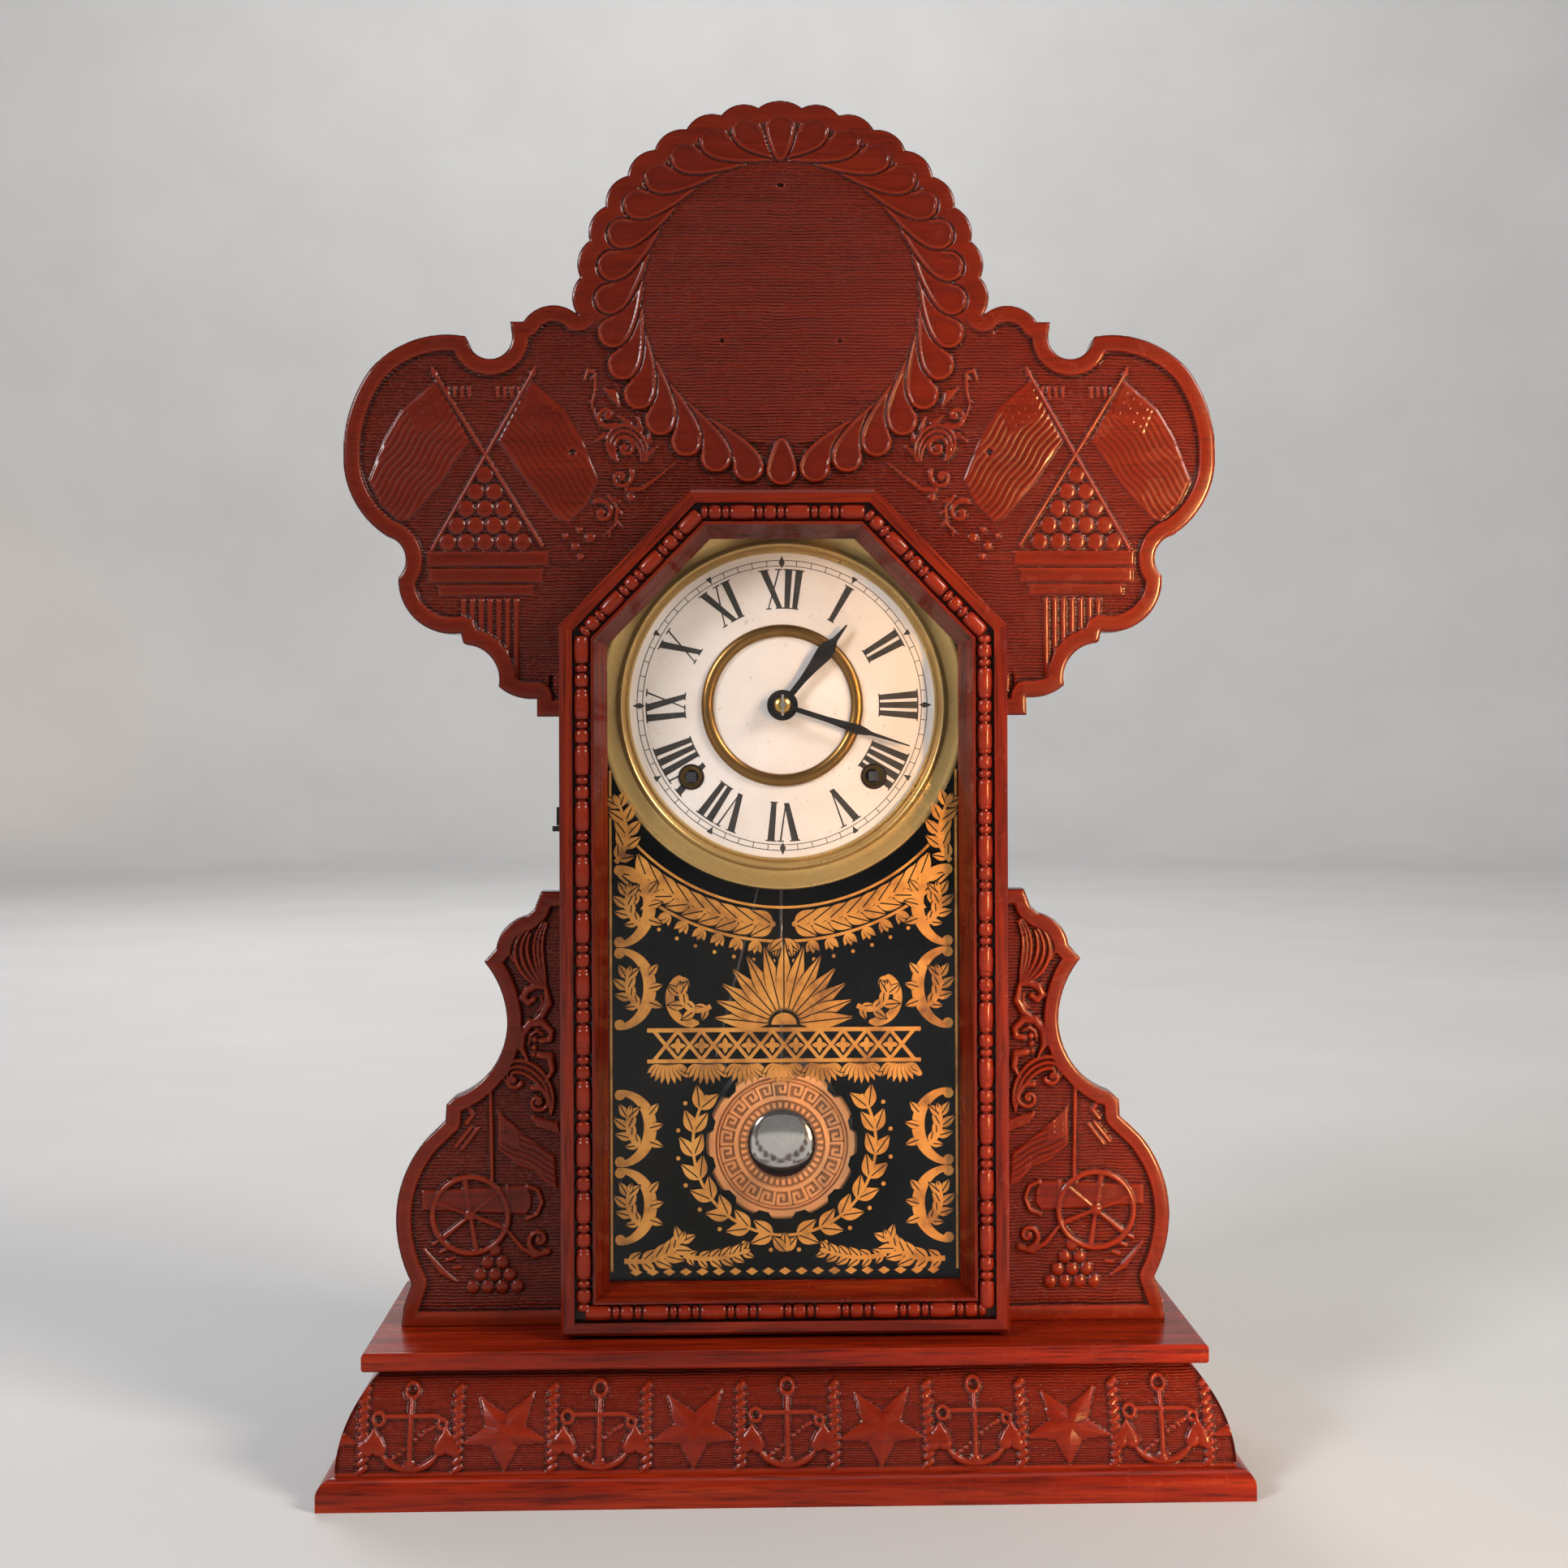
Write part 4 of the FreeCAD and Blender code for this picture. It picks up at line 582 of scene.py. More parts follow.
def carve_leaf(c, spine, width, height, lobes, side):
    """Acanthus frond: lobes on one side of a curved spine, 1 for its left and -1 for its right."""
    count = len(spine) - 1
    for k in range(lobes):
        t = (k + 0.4) / lobes * count
        i = min(int(t), count - 1)
        (ax, az), (bx, bz) = spine[i], spine[i + 1]
        px, pz = ax + (bx - ax) * (t - i), az + (bz - az) * (t - i)
        size = math.hypot(bx - ax, bz - az)
        dx, dz = (bx - ax) / size, (bz - az) / size
        reach = width * (1.0 - 0.45 * k / lobes)
        ex = px + reach * (0.75 * dx - side * 0.75 * dz)
        ez = pz + reach * (0.75 * dz + side * 0.75 * dx)
        middle = (0.5 * (px + ex) + 0.1 * dx, 0.5 * (pz + ez))
        c.cord([(px, pz), middle, (ex, ez)], [0.7, 0.30 * reach, 0.5], height * 0.85)
    c.cord(spine, [0.9 - 0.4 * k / count for k in range(count + 1)], height)


def carve_plume(c, spine, width, ridges, height):
    """Flowing frond: ridges side by side along a spine that gather again at both ends."""
    count = len(spine) - 1
    thick = 1.12 * width / ridges + 0.2
    swell = [thick * (0.55 + 0.45 * math.sin(math.pi * k / count)) for k in range(count + 1)]
    for r in range(ridges):
        row = []
        for k, (x, z) in enumerate(spine):
            ax, az = spine[max(k - 1, 0)]
            bx, bz = spine[min(k + 1, count)]
            size = math.hypot(bx - ax, bz - az)
            spread = math.sin(math.pi * (0.12 + 0.88 * k / count)) ** 0.7
            out = width * (2 * r / (ridges - 1) - 1) * spread
            row.append((x - out * (bz - az) / size, z + out * (bx - ax) / size))
        c.cord(row, swell, height)


def face_loops(node, plane):
    """Outlines, in millimetres, of a CAD node's flat faces at one Y."""
    mesh = NODES[node].data
    co = np.empty(len(mesh.vertices) * 3)
    mesh.vertices.foreach_get("co", co)
    co = co.reshape(-1, 3) / MM
    corners = np.array([list(p.vertices) for p in mesh.polygons])
    flat = corners[np.all(np.abs(co[corners][:, :, 1] - plane) < 0.01, axis=1)]
    keys = np.round(co * 500).astype(int)
    ids = {}
    label = [ids.setdefault((k[0], k[2]), len(ids)) for k in keys]
    spots = {label[i]: (co[i, 0], co[i, 2]) for i in range(len(co))}
    edges = set()
    for a, b, d in flat:
        for s, e in ((a, b), (b, d), (d, a)):
            s, e = label[s], label[e]
            if s != e and (e, s) in edges:
                edges.remove((e, s))
            elif s != e:
                edges.add((s, e))
    return [[spots[k] for k in loop] for loop in chain_up(edges)]


def chain_up(edges):
    """Closed loops of the point pairs, each followed from end to start."""
    ahead = dict(edges)
    loops = []
    while ahead:
        start = here = next(iter(ahead))
        loop = []
        while here in ahead:
            loop.append(here)
            here = ahead.pop(here)
        if here == start and len(loop) > 2:
            loops.append(loop)
    return loops


def edge_gap(x, z, lines, reach):
    """Distance from each point to the nearest of some line pieces, up to reach."""
    gap = np.full(len(x), reach)
    for (ax, az), (bx, bz) in lines:
        here = np.flatnonzero((x > min(ax, bx) - reach) & (x < max(ax, bx) + reach)
                              & (z > min(az, bz) - reach) & (z < max(az, bz) + reach))
        gap[here] = np.minimum(gap[here], to_line(x[here], z[here], (ax, az), (bx, bz))[0])
    return gap


class CarvedBoard:
    """A flat CAD board recut on a fine grid with carved relief, cut to the board's own outline."""

    # Odd margins keep the grid's lines off the outline's straight runs.
    MARGIN_X, MARGIN_Z = 0.513, 0.517

    def __init__(self, node, bare_edge, motif, ground, rim, step):
        """bare_edge tells which outline pieces carry no rim; motif carves; ground is the field's level."""
        loops = face_loops(node, CREST_FRONT)
        self.lines = [(p, q) for loop in loops for p, q in zip(loop, loop[1:] + loop[:1])]
        self.step = step
        x, z = np.array(self.lines).reshape(-1, 2).T
        self.xs = np.arange(x.min() - self.MARGIN_X, x.max() + 1, step)
        self.zs = np.arange(z.min() - self.MARGIN_Z, z.max() + 1, step)
        self.gx, self.gz = np.meshgrid(self.xs, self.zs, indexing="ij")
        rimmed = [pair for pair in self.lines if not bare_edge(*pair)]
        self.carve(rimmed, motif, ground, rim)
        self.trace()

    def carve(self, rimmed, motif, ground, rim):
        """Heights over the board's face, and how hollow (for painted shade), how raised (for wear and a
        painted highlight) and how plain each spot is.
        """
        rounding, swell, ceiling = 1.3, 0.25, 0.35
        x, z = self.gx.ravel(), self.gz.ravel()
        gap = edge_gap(x, z, rimmed, rim + 3.0)
        c = Carving(np.abs(x), z)
        motif(c)
        border = -0.8 * (1 - np.sqrt(1 - (1 - np.clip(gap / rounding, 0, 1)) ** 2))
        border = border + swell * np.sin(np.pi * np.clip(gap / rim, 0, 1))
        share = smooth_step(rim - 0.6, rim + 0.7, gap)
        level = border * (1 - share) + np.minimum(ground + c.h, ceiling) * share
        level = level.reshape(self.gx.shape)
        around = soften(level, 14)
        self.level = level
        self.slope_x, self.slope_z = np.gradient(-level, self.step, self.step)
        # hollow sets the finish's painted shade, deepest in hollows and on the low ground; the raised-tops
        # mark sets lighter tops, part wear and part painted highlight
        self.marks = {
            "hollow": np.clip((around - level) * 1.8 + 0.16 * smooth_step(-0.3, ground, level), 0, 1),
            "wear_and_highlight": np.clip((level - around) * 1.5, 0, 1),
            "ground": (c.plain * share).reshape(self.gx.shape),
        }

    def trace(self):
        """Where the outline crosses the grid's lines, and which grid points lie inside it."""
        xs, zs = self.xs, self.zs
        self.across = [[] for _ in zs]
        self.upward = [[] for _ in xs]
        for (ax, az), (bx, bz) in self.lines:
            for j in range(*np.searchsorted(zs, sorted((az, bz)))):
                self.across[j].append(ax + (bx - ax) * (zs[j] - az) / (bz - az))
            for i in range(*np.searchsorted(xs, sorted((ax, bx)))):
                self.upward[i].append(az + (bz - az) * (xs[i] - ax) / (bx - ax))
        self.inside = np.zeros(self.gx.shape, bool)
        for j, row in enumerate(self.across):
            self.inside[:, j] = np.searchsorted(np.sort(row), xs) % 2 == 1

    def column(self, x):
        """Number of the grid line nearest to x, kept on the grid."""
        return min(max(0, int(round((x - self.xs[0]) / self.step))), len(self.xs) - 1)

    def sample(self, field, x, z):
        i = min(int((x - self.xs[0]) / self.step), len(self.xs) - 2)
        j = min(int((z - self.zs[0]) / self.step), len(self.zs) - 2)
        u, v = (x - self.xs[i]) / self.step, (z - self.zs[j]) / self.step
        return ((1 - u) * (1 - v) * field[i, j] + u * (1 - v) * field[i + 1, j]
                + (1 - u) * v * field[i, j + 1] + u * v * field[i + 1, j + 1])


class Strip:
    """One upright strip of a carved board: the carved face, walls along its border and a flat back."""

    def __init__(self, board, left, right):
        self.board = board
        self.first, self.last = board.column(left), board.column(right)
        self.tile = np.zeros_like(board.inside)
        self.tile[self.first:self.last + 1] = board.inside[self.first:self.last + 1]
        tile = self.tile
        self.number = np.full(tile.shape, -1)
        self.number[tile] = np.arange(tile.sum())
        self.points = np.stack([board.gx[tile], CREST_FRONT - board.level[tile], board.gz[tile]], 1).tolist()
        self.normals = np.stack([board.slope_x[tile], -np.ones(tile.sum()), board.slope_z[tile]], 1).tolist()
        self.marks = {mark: field[tile].tolist() for mark, field in board.marks.items()}
        self.met = {}

    def crossing(self, i, j, k, m):
        """Point where the outline crosses the grid line between two neighbours (i, j) and (k, m)."""
        key = (min(i, k), min(j, m), i == k)
        if key not in self.met:
            board = self.board
            xs, zs = board.xs, board.zs
            if i == k:
                row = [z for z in board.upward[i] if zs[min(j, m)] <= z <= zs[max(j, m)]]
                spot = (xs[i], row[0] if row else 0.5 * (zs[j] + zs[m]))
            else:
                row = [x for x in board.across[j] if xs[min(i, k)] <= x <= xs[max(i, k)]]
                spot = (row[0] if row else 0.5 * (xs[i] + xs[k]), zs[j])
            self.met[key] = len(self.points)
            self.points.append([spot[0], CREST_FRONT - board.sample(board.level, *spot), spot[1]])
            self.normals.append([board.sample(board.slope_x, *spot), -1.0,
                                 board.sample(board.slope_z, *spot)])
            for mark, field in board.marks.items():
                self.marks[mark].append(board.sample(field, *spot))
        return self.met[key]

    def face(self):
        """Faces of the carved side, and the outline's border as point pairs."""
        inside, number, tile = self.board.inside, self.number, self.tile
        low, high = slice(None, -1), slice(1, None)
        corners = [(low, low), (high, low), (high, high), (low, high)]
        full = np.logical_and.reduce([tile[corner] for corner in corners])
        some = np.logical_or.reduce([tile[corner] for corner in corners]) & ~full
        some[:self.first], some[self.last:] = False, False
        faces = np.stack([number[corner][full] for corner in corners], 1).tolist()
        border = []
        for i, j in zip(*np.nonzero(some)):
            ring = [(i, j), (i + 1, j), (i + 1, j + 1), (i, j + 1)]
            face, leaves = [], []
            for here, there in zip(ring, ring[1:] + ring[:1]):
                if inside[here]:
                    face.append(number[here])
                    leaves.append(None)
                if inside[here] != inside[there]:
                    face.append(self.crossing(*here, *there))
                    leaves.append(bool(inside[here]))
            if len(face) < 3:
                continue
            faces.append(face)
            next_spots, next_leaves = face[1:] + face[:1], leaves[1:] + leaves[:1]
            border += [(a, b) for a, b, out, back in zip(face, next_spots, leaves, next_leaves)
                       if out is True and back is False]
        return faces, border

    def sawn(self):
        """Border along the two uprights where the strip is cut from its neighbours."""
        inside, number = self.board.inside, self.number
        border = []
        for i, is_left in ((self.first, True), (self.last, False)):
            column = []
            for j in range(inside.shape[1] - 1):
                if inside[i, j] and inside[i, j + 1]:
                    column.append((number[i, j], number[i, j + 1]))
                elif inside[i, j] != inside[i, j + 1]:
                    cross = self.crossing(i, j, i, j + 1)
                    column.append((number[i, j], cross) if inside[i, j] else (cross, number[i, j + 1]))
            border += [(q, p) if is_left else (p, q) for p, q in column]
        return border

    def close(self, border):
        """Walls down to the back and the back itself, with the way each wall corner looks."""
        back, outward = {}, {}
        points = self.points
        for a, b in border:
            for end in (a, b):
                if end not in back:
                    back[end] = len(points)
                    outward[end] = Vector((0, 0, 0))
                    points.append([points[end][0], CREST_BACK, points[end][2]])
                    # back points get a fixed hollow value, so the walls take a painted shade towards the back
                    for mark, values in self.marks.items():
                        values.append(0.35 if mark == "hollow" else 0.0)
                outward[end] += Vector((points[b][2] - points[a][2], 0, points[a][0] - points[b][0]))
        walls = [[a, back[a], back[b], b] for a, b in border]
        looks = []
        for a, b in border:
            flat = Vector((points[b][2] - points[a][2], 0, points[a][0] - points[b][0])).normalized()
            for end in (a, a, b, b):
                rounded = outward[end].normalized()
                looks.append(rounded if rounded.dot(flat) > 0.8 else flat)
        rear = [[back[k] for k in reversed(loop)] for loop in chain_up(border)]
        return walls, looks, rear

    def mesh(self, name):
        faces, border = self.face()
        border += self.sawn()
        walls, looks, rear = self.close(border)
        obj = place_mesh(name, self.points, faces + walls + rear)
        set_marks(obj.data, self.marks)
        looks = [self.normals[k] for face in faces for k in face] + looks
        looks += [(0, 1, 0) for face in rear for _ in face]
        obj.data.normals_split_custom_set([Vector(look).normalized() for look in looks])
        return obj


# Crest

CREST_GROUND, CREST_RELIEF = -1.5, 0.62
WREATH_Z, WREATH_OUT, WREATH_IN = 497.3, 79.6, 60.2
PETAL_HALF, PETAL_PAIRS = 6.5, 16
PETAL_LEAN = math.radians(21.0)


def petal_wreath(c, ground):
    """Ring of flat petals with raised lips, their tails swept up to the top, round a level field."""
    here = c.near([(0, WREATH_Z)], 92)
    out = np.hypot(c.x[here], c.z[here] - WREATH_Z)
    band = smooth_step(WREATH_IN + 2.0, WREATH_IN + 4.0, out) * smooth_step(480.0, 492.0, c.z[here])
    c.h[here] += (-ground - 0.1 - c.h[here]) * band
    c.plain[here] *= 1 - band
    field = here[out < WREATH_IN + 2.0]
    c.h[field] = 0.75
    c.plain[field] = 0.8
    heads = WREATH_OUT - PETAL_HALF
    for k in reversed(range(PETAL_PAIRS + 1)):
        head = math.pi / 2 - math.pi * k / PETAL_PAIRS
        lean = 0.0 if k in (0, PETAL_PAIRS) else PETAL_LEAN
        row, widths = [], []
        for t in np.linspace(0, 1, 14):
            a = head + lean * t ** 1.5
            radius = heads - (heads - WREATH_IN) * (1 - (1 - t) ** 1.5)
            row.append((radius * math.cos(a), WREATH_Z + radius * math.sin(a)))
            widths.append(PETAL_HALF * (1 - t) ** 0.75 + 0.35)
        spots = c.near(row, PETAL_HALF + 3)
        skin = c.skin(row, widths, spots)
        petal, gap = spots[skin < 0.0], skin[skin < 0.0]
        lip = 0.55 * np.exp(-((gap + 0.95) / 0.55) ** 2)
        c.h[petal] = -ground - 0.3 + lip - 0.9 * smooth_step(-0.5, 0.1, gap)
        c.plain[petal] = 0.0
        close = (skin >= 0.0) & (skin < 1.0)
        groove, gap = spots[close], skin[close]
        c.h[groove] = np.minimum(c.h[groove], -ground - 1.2 + 1.6 * gap)
    for x, z in ((25.2, 479.6), (0.6, 546.4)):
        c.pit(x, z, 1.0, 1.6)


WING_AXIS = 127.2
INNER_FLAG = [(107.4, 463.9), (92.4, 450.7), (84.8, 437.8), (77.8, 419.7), (82.7, 409.3), (91.0, 401.3),
              (95.9, 403.1), (108.1, 417.0), (121.6, 436.8)]
INNER_CANTON = [(107.4, 463.0), (93.6, 450.6), (98.5, 438.5), (113.0, 447.0)]


def crossed_flags(c):
    """Two rippled flags on crossed staffs, each with a field of small studs at its upper corner."""
    stripe_x, stripe_z = 0.811, -0.585
    for side in (1, -1):
        flag = [(WING_AXIS + side * (x - WING_AXIS), z) for x, z in INNER_FLAG]
        c.patch(flag, 0.95, 1.2, ((side * stripe_x, stripe_z), 2.7, 0.17, 0.6))
    for side in (1, -1):
        canton = [(WING_AXIS + side * (x - WING_AXIS), z) for x, z in INNER_CANTON]
        c.patch(canton, 1.15, 0.8)
        (ax, az), (bx, bz), (dx, dz), (ex, ez) = canton
        for u in (0.2, 0.4, 0.6, 0.8):
            for v in (0.22, 0.5, 0.78):
                x = (ax * (1 - u) + bx * u) * (1 - v) + (ex * (1 - u) + dx * u) * v
                z = (az * (1 - u) + bz * u) * (1 - v) + (ez * (1 - u) + dz * u) * v
                c.ball(x, z, 0.75, 1.6)
    for top, foot in (((148.0, 465.6), (102.4, 392.0)), ((106.4, 465.6), (149.4, 390.5))):
        c.cord([top, foot], 0.95, 1.7)
        c.cord([top, (top[0] * 1.03 - foot[0] * 0.03, top[1] + 3.2)], [1.6, 0.3], 1.7)


def shot_on_ledges(c):
    """Pile of shot on three ledges over a fluted bracket."""
    for row in range(5):
        for k in range(5 - row):
            c.ball(WING_AXIS - 0.4 + (k - (4 - row) / 2) * 8.0, 393.4 + 7.2 * row, 3.8, 1.7, 4.0)
    for low, high, near, far in ((383.2, 389.6, 99.5, 152.0), (376.0, 382.2, 102.0, 151.0),
                                 (370.5, 375.2, 106.0, 147.0)):
        c.patch([(near, low), (far, low), (far, high), (near, high)], 0.9, 0.9)
        c.cord([(near, high - 0.4), (far, high - 0.4)], 0.5, 1.35)
    for k in range(7):
        x = 113.5 + 3.75 * k
        foot = 329.0 + 3.6 * max(0, k - 0.5) ** 1.25
        c.cord([(x, 368.5), (x, foot)], 1.25, 1.35)


def wing_scrolls(c):
    """Leaf scrolls and berries between the wreath and the inner flag."""
    carve_leaf(c, [(84.0, 463.0), (82.6, 467.2), (79.4, 465.5), (79.6, 458.7), (81.0, 451.7), (78.5, 445.2),
                   (74.4, 442.3)], 3.0, 1.5, 4, 1)
    carve_volute(c, 74.6, 447.6, 5.6, 230, 1.3, 1.6, 1.5)
    c.cord([(75.6, 459.0), (72.0, 456.5), (69.0, 451.5)], [0.6, 2.3, 0.5], 1.5)
    curl = bend((58.6, 428.0), (58.0, 444.0), (74.0, 447.0), (76.0, 434.0), (70.0, 428.0), count=16)
    carve_plume(c, curl, 2.4, 3, 1.7)
    carve_volute(c, 66.8, 433.6, 4.6, 80, 1.3, 1.6, 1.3)
    for k in range(6):
        a = math.radians(200 - 34 * k)
        b = a - 0.35
        c.cord([(66.6 + 10 * math.cos(a), 434.3 + 10 * math.sin(a)),
                (66.6 + 13.4 * math.cos(b), 434.3 + 13.4 * math.sin(b))], [1.5, 0.5], 1.2)
    carve_volute(c, 68.8, 421.1, 5.4, 150, 1.4, 1.6, 1.4)
    c.cord([(66.0, 415.8), (60.0, 416.0), (53.0, 421.0), (45.8, 427.0)], [1.6, 1.3, 0.8, 0.4], 1.3)
    c.ball(64.6, 412.4, 2.0, 1.6)
    carve_volute(c, 76.8, 405.8, 5.8, 60, 1.3, 1.6, 1.5)
    carve_leaf(c, [(74.0, 413.0), (70.5, 408.0), (70.8, 401.0), (75.5, 396.6)], 3.6, 1.4, 4, -1)
    for x, z, radius in ((82.0, 395.2, 2.4), (86.4, 398.6, 1.6), (88.4, 391.6, 2.0), (92.5, 396.0, 1.3),
                         (86.0, 387.0, 1.6)):
        c.ball(x, z, radius, 1.5)


def crest_motifs(c):
    crossed_flags(c)
    shot_on_ledges(c)
    wing_scrolls(c)
    for x, z in ((116.6, 458.0), (137.8, 458.0)):
        for k in range(4):
            c.cord([(x - 4.5 + 3 * k, z - 2.0), (x - 4.5 + 3 * k, z + 1.6)], 0.9, 1.1)
    c.pit(89.4, 432.0, 1.5, 2.2)
    c.h *= CREST_RELIEF
    petal_wreath(c, CREST_GROUND)
    c.groove([(98.6, 336.0), (98.6, 318.0)], 1.0, 1.4)


def by_door(p, q):
    return all(abs(x) < 90.7 and z < 410.2 for x, z in (p, q))


def crest():
    board = CarvedBoard("crest_board", by_door, crest_motifs, CREST_GROUND, 7.0, 0.52)
    for name, left, right in (("crest_left", -400, -62.0), ("crest_middle", -62.0, 62.0),
                              ("crest_right", 62.0, 400)):
        fit(Strip(board, left, right).mesh(name), "case", CARVED_WOOD, "mahogany_wood", "crest_board")


# Side scrolls

SCROLL_GROUND, SCROLL_RELIEF = -1.6, 0.8
DOOR_SIDE = 90.5
HUB, WHEEL_RADIUS = (134.0, 106.2), 16.2


def scroll_leaves(c):
    """Plumes, curls and berries that run down the narrow neck to a large volute."""
    outer = bend((109.0, 227.0), (115.4, 219.0), (110.4, 209.0), (102.4, 203.4), count=14)
    inner = bend((101.4, 231.0), (107.6, 222.0), (103.4, 212.0), (101.6, 203.0), count=14)
    carve_plume(c, outer, 2.7, 3, 1.8)
    carve_plume(c, inner, 1.8, 3, 1.6)
    c.cord([(114.6, 224.6), (117.4, 219.6), (115.4, 214.6)], [0.5, 1.7, 0.6], 1.5)
    c.cord([(101.6, 203.4), (105.6, 204.0), (109.6, 202.2), (111.2, 199.0), (109.0, 196.8), (106.4, 198.4)],
           [1.3, 1.8, 1.9, 1.8, 1.6, 1.3], 1.9)
    c.cord([(101.4, 203.0), (100.4, 196.4), (103.2, 191.4), (107.4, 188.8)], [1.2, 2.1, 1.9, 0.7], 1.8)
    c.cord([(103.4, 199.6), (102.8, 196.0), (105.0, 193.2)], [0.5, 0.9, 0.5], 1.5)
    c.cord([(99.2, 184.4), (103.0, 188.2), (108.2, 188.0), (111.6, 183.6), (112.0, 177.6), (109.0, 172.0)],
           [1.6, 1.9, 2.2, 2.2, 1.8, 0.6], 2.0)
    c.cord([(102.6, 183.4), (105.4, 184.8), (108.0, 183.0), (108.8, 179.0)], [0.6, 0.9, 0.9, 0.5], 1.5)
    c.cord([(99.2, 184.4), (99.8, 181.0), (103.4, 180.4)], [1.6, 1.6, 1.4], 1.9)
    for x, z, radius in ((106.2, 181.0, 1.5), (106.4, 177.6, 1.4), (106.8, 174.6, 1.2)):
        c.ball(x, z, radius, 1.7)
    c.cord([(104.2, 174.2), (99.8, 173.6), (98.8, 168.0), (101.6, 162.6)], [1.7, 2.0, 1.6, 0.5], 1.9)
    sweep = bend((116.8, 163.0), (122.6, 170.6), (110.0, 174.6), (102.0, 166.4), (98.4, 158.0), (99.4, 149.0),
                 count=20)
    carve_plume(c, sweep, 2.5, 3, 1.9)
    carve_volute(c, 115.6, 163.6, 3.6, 200, 1.1, 1.8, 1.4)
    carve_volute(c, 105.0, 154.4, 6.4, 70, 1.7, 1.9, 1.5)
    for k in range(7):
        c.cord([(107.0 - 1.6 * k, 147.6 - 0.5 * k), (104.6 - 1.5 * k, 143.6 - 0.6 * k)], [1.3, 0.5], 1.3)


def scroll_flag(c):
    """Flag on a staff, with two rods and a cord beside it."""
    c.cord([(125.2, 160.0), (124.6, 120.5)], 1.0, 1.6)
    c.patch([(122.6, 152.0), (109.6, 140.0), (97.6, 131.5), (96.4, 116.5), (101.2, 118.0), (106.8, 124.6),
             (114.0, 127.0), (122.6, 134.0)], 0.9, 1.0, ((0.46, -0.89), 2.3, 0.22, 0.5))
    c.patch([(122.4, 151.5), (113.0, 143.0), (112.0, 134.5), (122.4, 138.0)], 1.15, 0.7)
    for u in (0.3, 0.7):
        for v in (0.25, 0.5, 0.75):
            c.ball(122.0 - 9.0 * u, 139.0 + 9.5 * v - 2.5 * u, 0.7, 1.7)
    c.cord([(131.0, 143.0), (137.6, 134.4)], 1.1, 1.2)
    c.cord([(133.6, 143.6), (140.0, 135.6)], 1.1, 1.2)
    c.cord([(132.5, 157.0), (135.0, 153.0), (132.8, 149.0), (135.5, 145.5)], 1.2, 1.2)


def gun_on_wheel(c):
    """Gun barrel on a spoked wheel, its trail in a volute, with a pile of shot and a leaf spray below."""
    c.patch([(155.0, 108.2), (155.0, 117.2), (110.0, 119.2), (107.6, 115.0), (107.6, 109.6), (110.0, 106.0)],
            0.95, 0.9)
    c.cord([(118.0, 118.6), (118.0, 106.6)], 0.7, 1.4)
    c.cord([(109.5, 118.4), (105.2, 116.6), (103.4, 111.6), (105.6, 106.4), (109.8, 104.6)], 1.1, 1.4)
    c.cord(circle(*HUB, WHEEL_RADIUS, 48, True), 1.5, 1.75)
    for k in range(6):
        a = TAU * (k + 0.35) / 6
        spoke = [(HUB[0] + reach * math.cos(a), HUB[1] + reach * math.sin(a)) for reach in (2, 15.6)]
        c.cord(spoke, [1.0, 1.6], 1.35)
    c.ball(*HUB, 3.0, 1.9)
    c.cord([(118.6, 100.0), (112.0, 92.0), (106.6, 88.8), (101.0, 90.4)], [1.0, 1.3, 1.5, 1.6], 1.4)
    carve_volute(c, 104.6, 95.6, 5.6, 280, 1.4, 1.6, 1.5)
    for row in range(4):
        for k in range(4 - row):
            c.ball(123.6 + (k - (3 - row) / 2) * 6.3, 75.6 + 5.2 * row, 2.95, 1.6)
    c.cord([(154.0, 92.0), (146.0, 82.0), (140.0, 78.0)], [0.6, 1.6, 0.5], 1.1)
    for k in range(4):
        c.cord([(150.0 - 3.0 * k, 94.0 - 3.4 * k), (146.4 - 2.6 * k, 96.0 - 4.0 * k)], 0.9, 1.2)


def scroll_motifs(c):
    scroll_leaves(c)
    scroll_flag(c)
    gun_on_wheel(c)
    c.h *= SCROLL_RELIEF


def beside_door(p, q):
    return all(abs(abs(x) - DOOR_SIDE) < 0.05 for x, _ in (p, q))


def side_scrolls():
    board = CarvedBoard("side_scrolls", beside_door, scroll_motifs, SCROLL_GROUND, 6.4, 0.5)
    for name, left, right in (("scroll_left", -400, 0), ("scroll_right", 0, 400)):
        fit(Strip(board, left, right).mesh(name), "case", CARVED_WOOD, "mahogany_wood", "side_scrolls")


# Base moulding

MOTIF_PITCH = 38.25
STAR_TIPS = [(18.2, -4.0), (11.8, 14.6), (-10.8, 13.0), (-18.2, -4.6), (0.0, -16.0)]
STAR_NOTCHES = [(8.2, 2.2), (0.4, 6.3), (-8.0, 2.0), (-5.6, -5.4), (5.6, -5.4)]


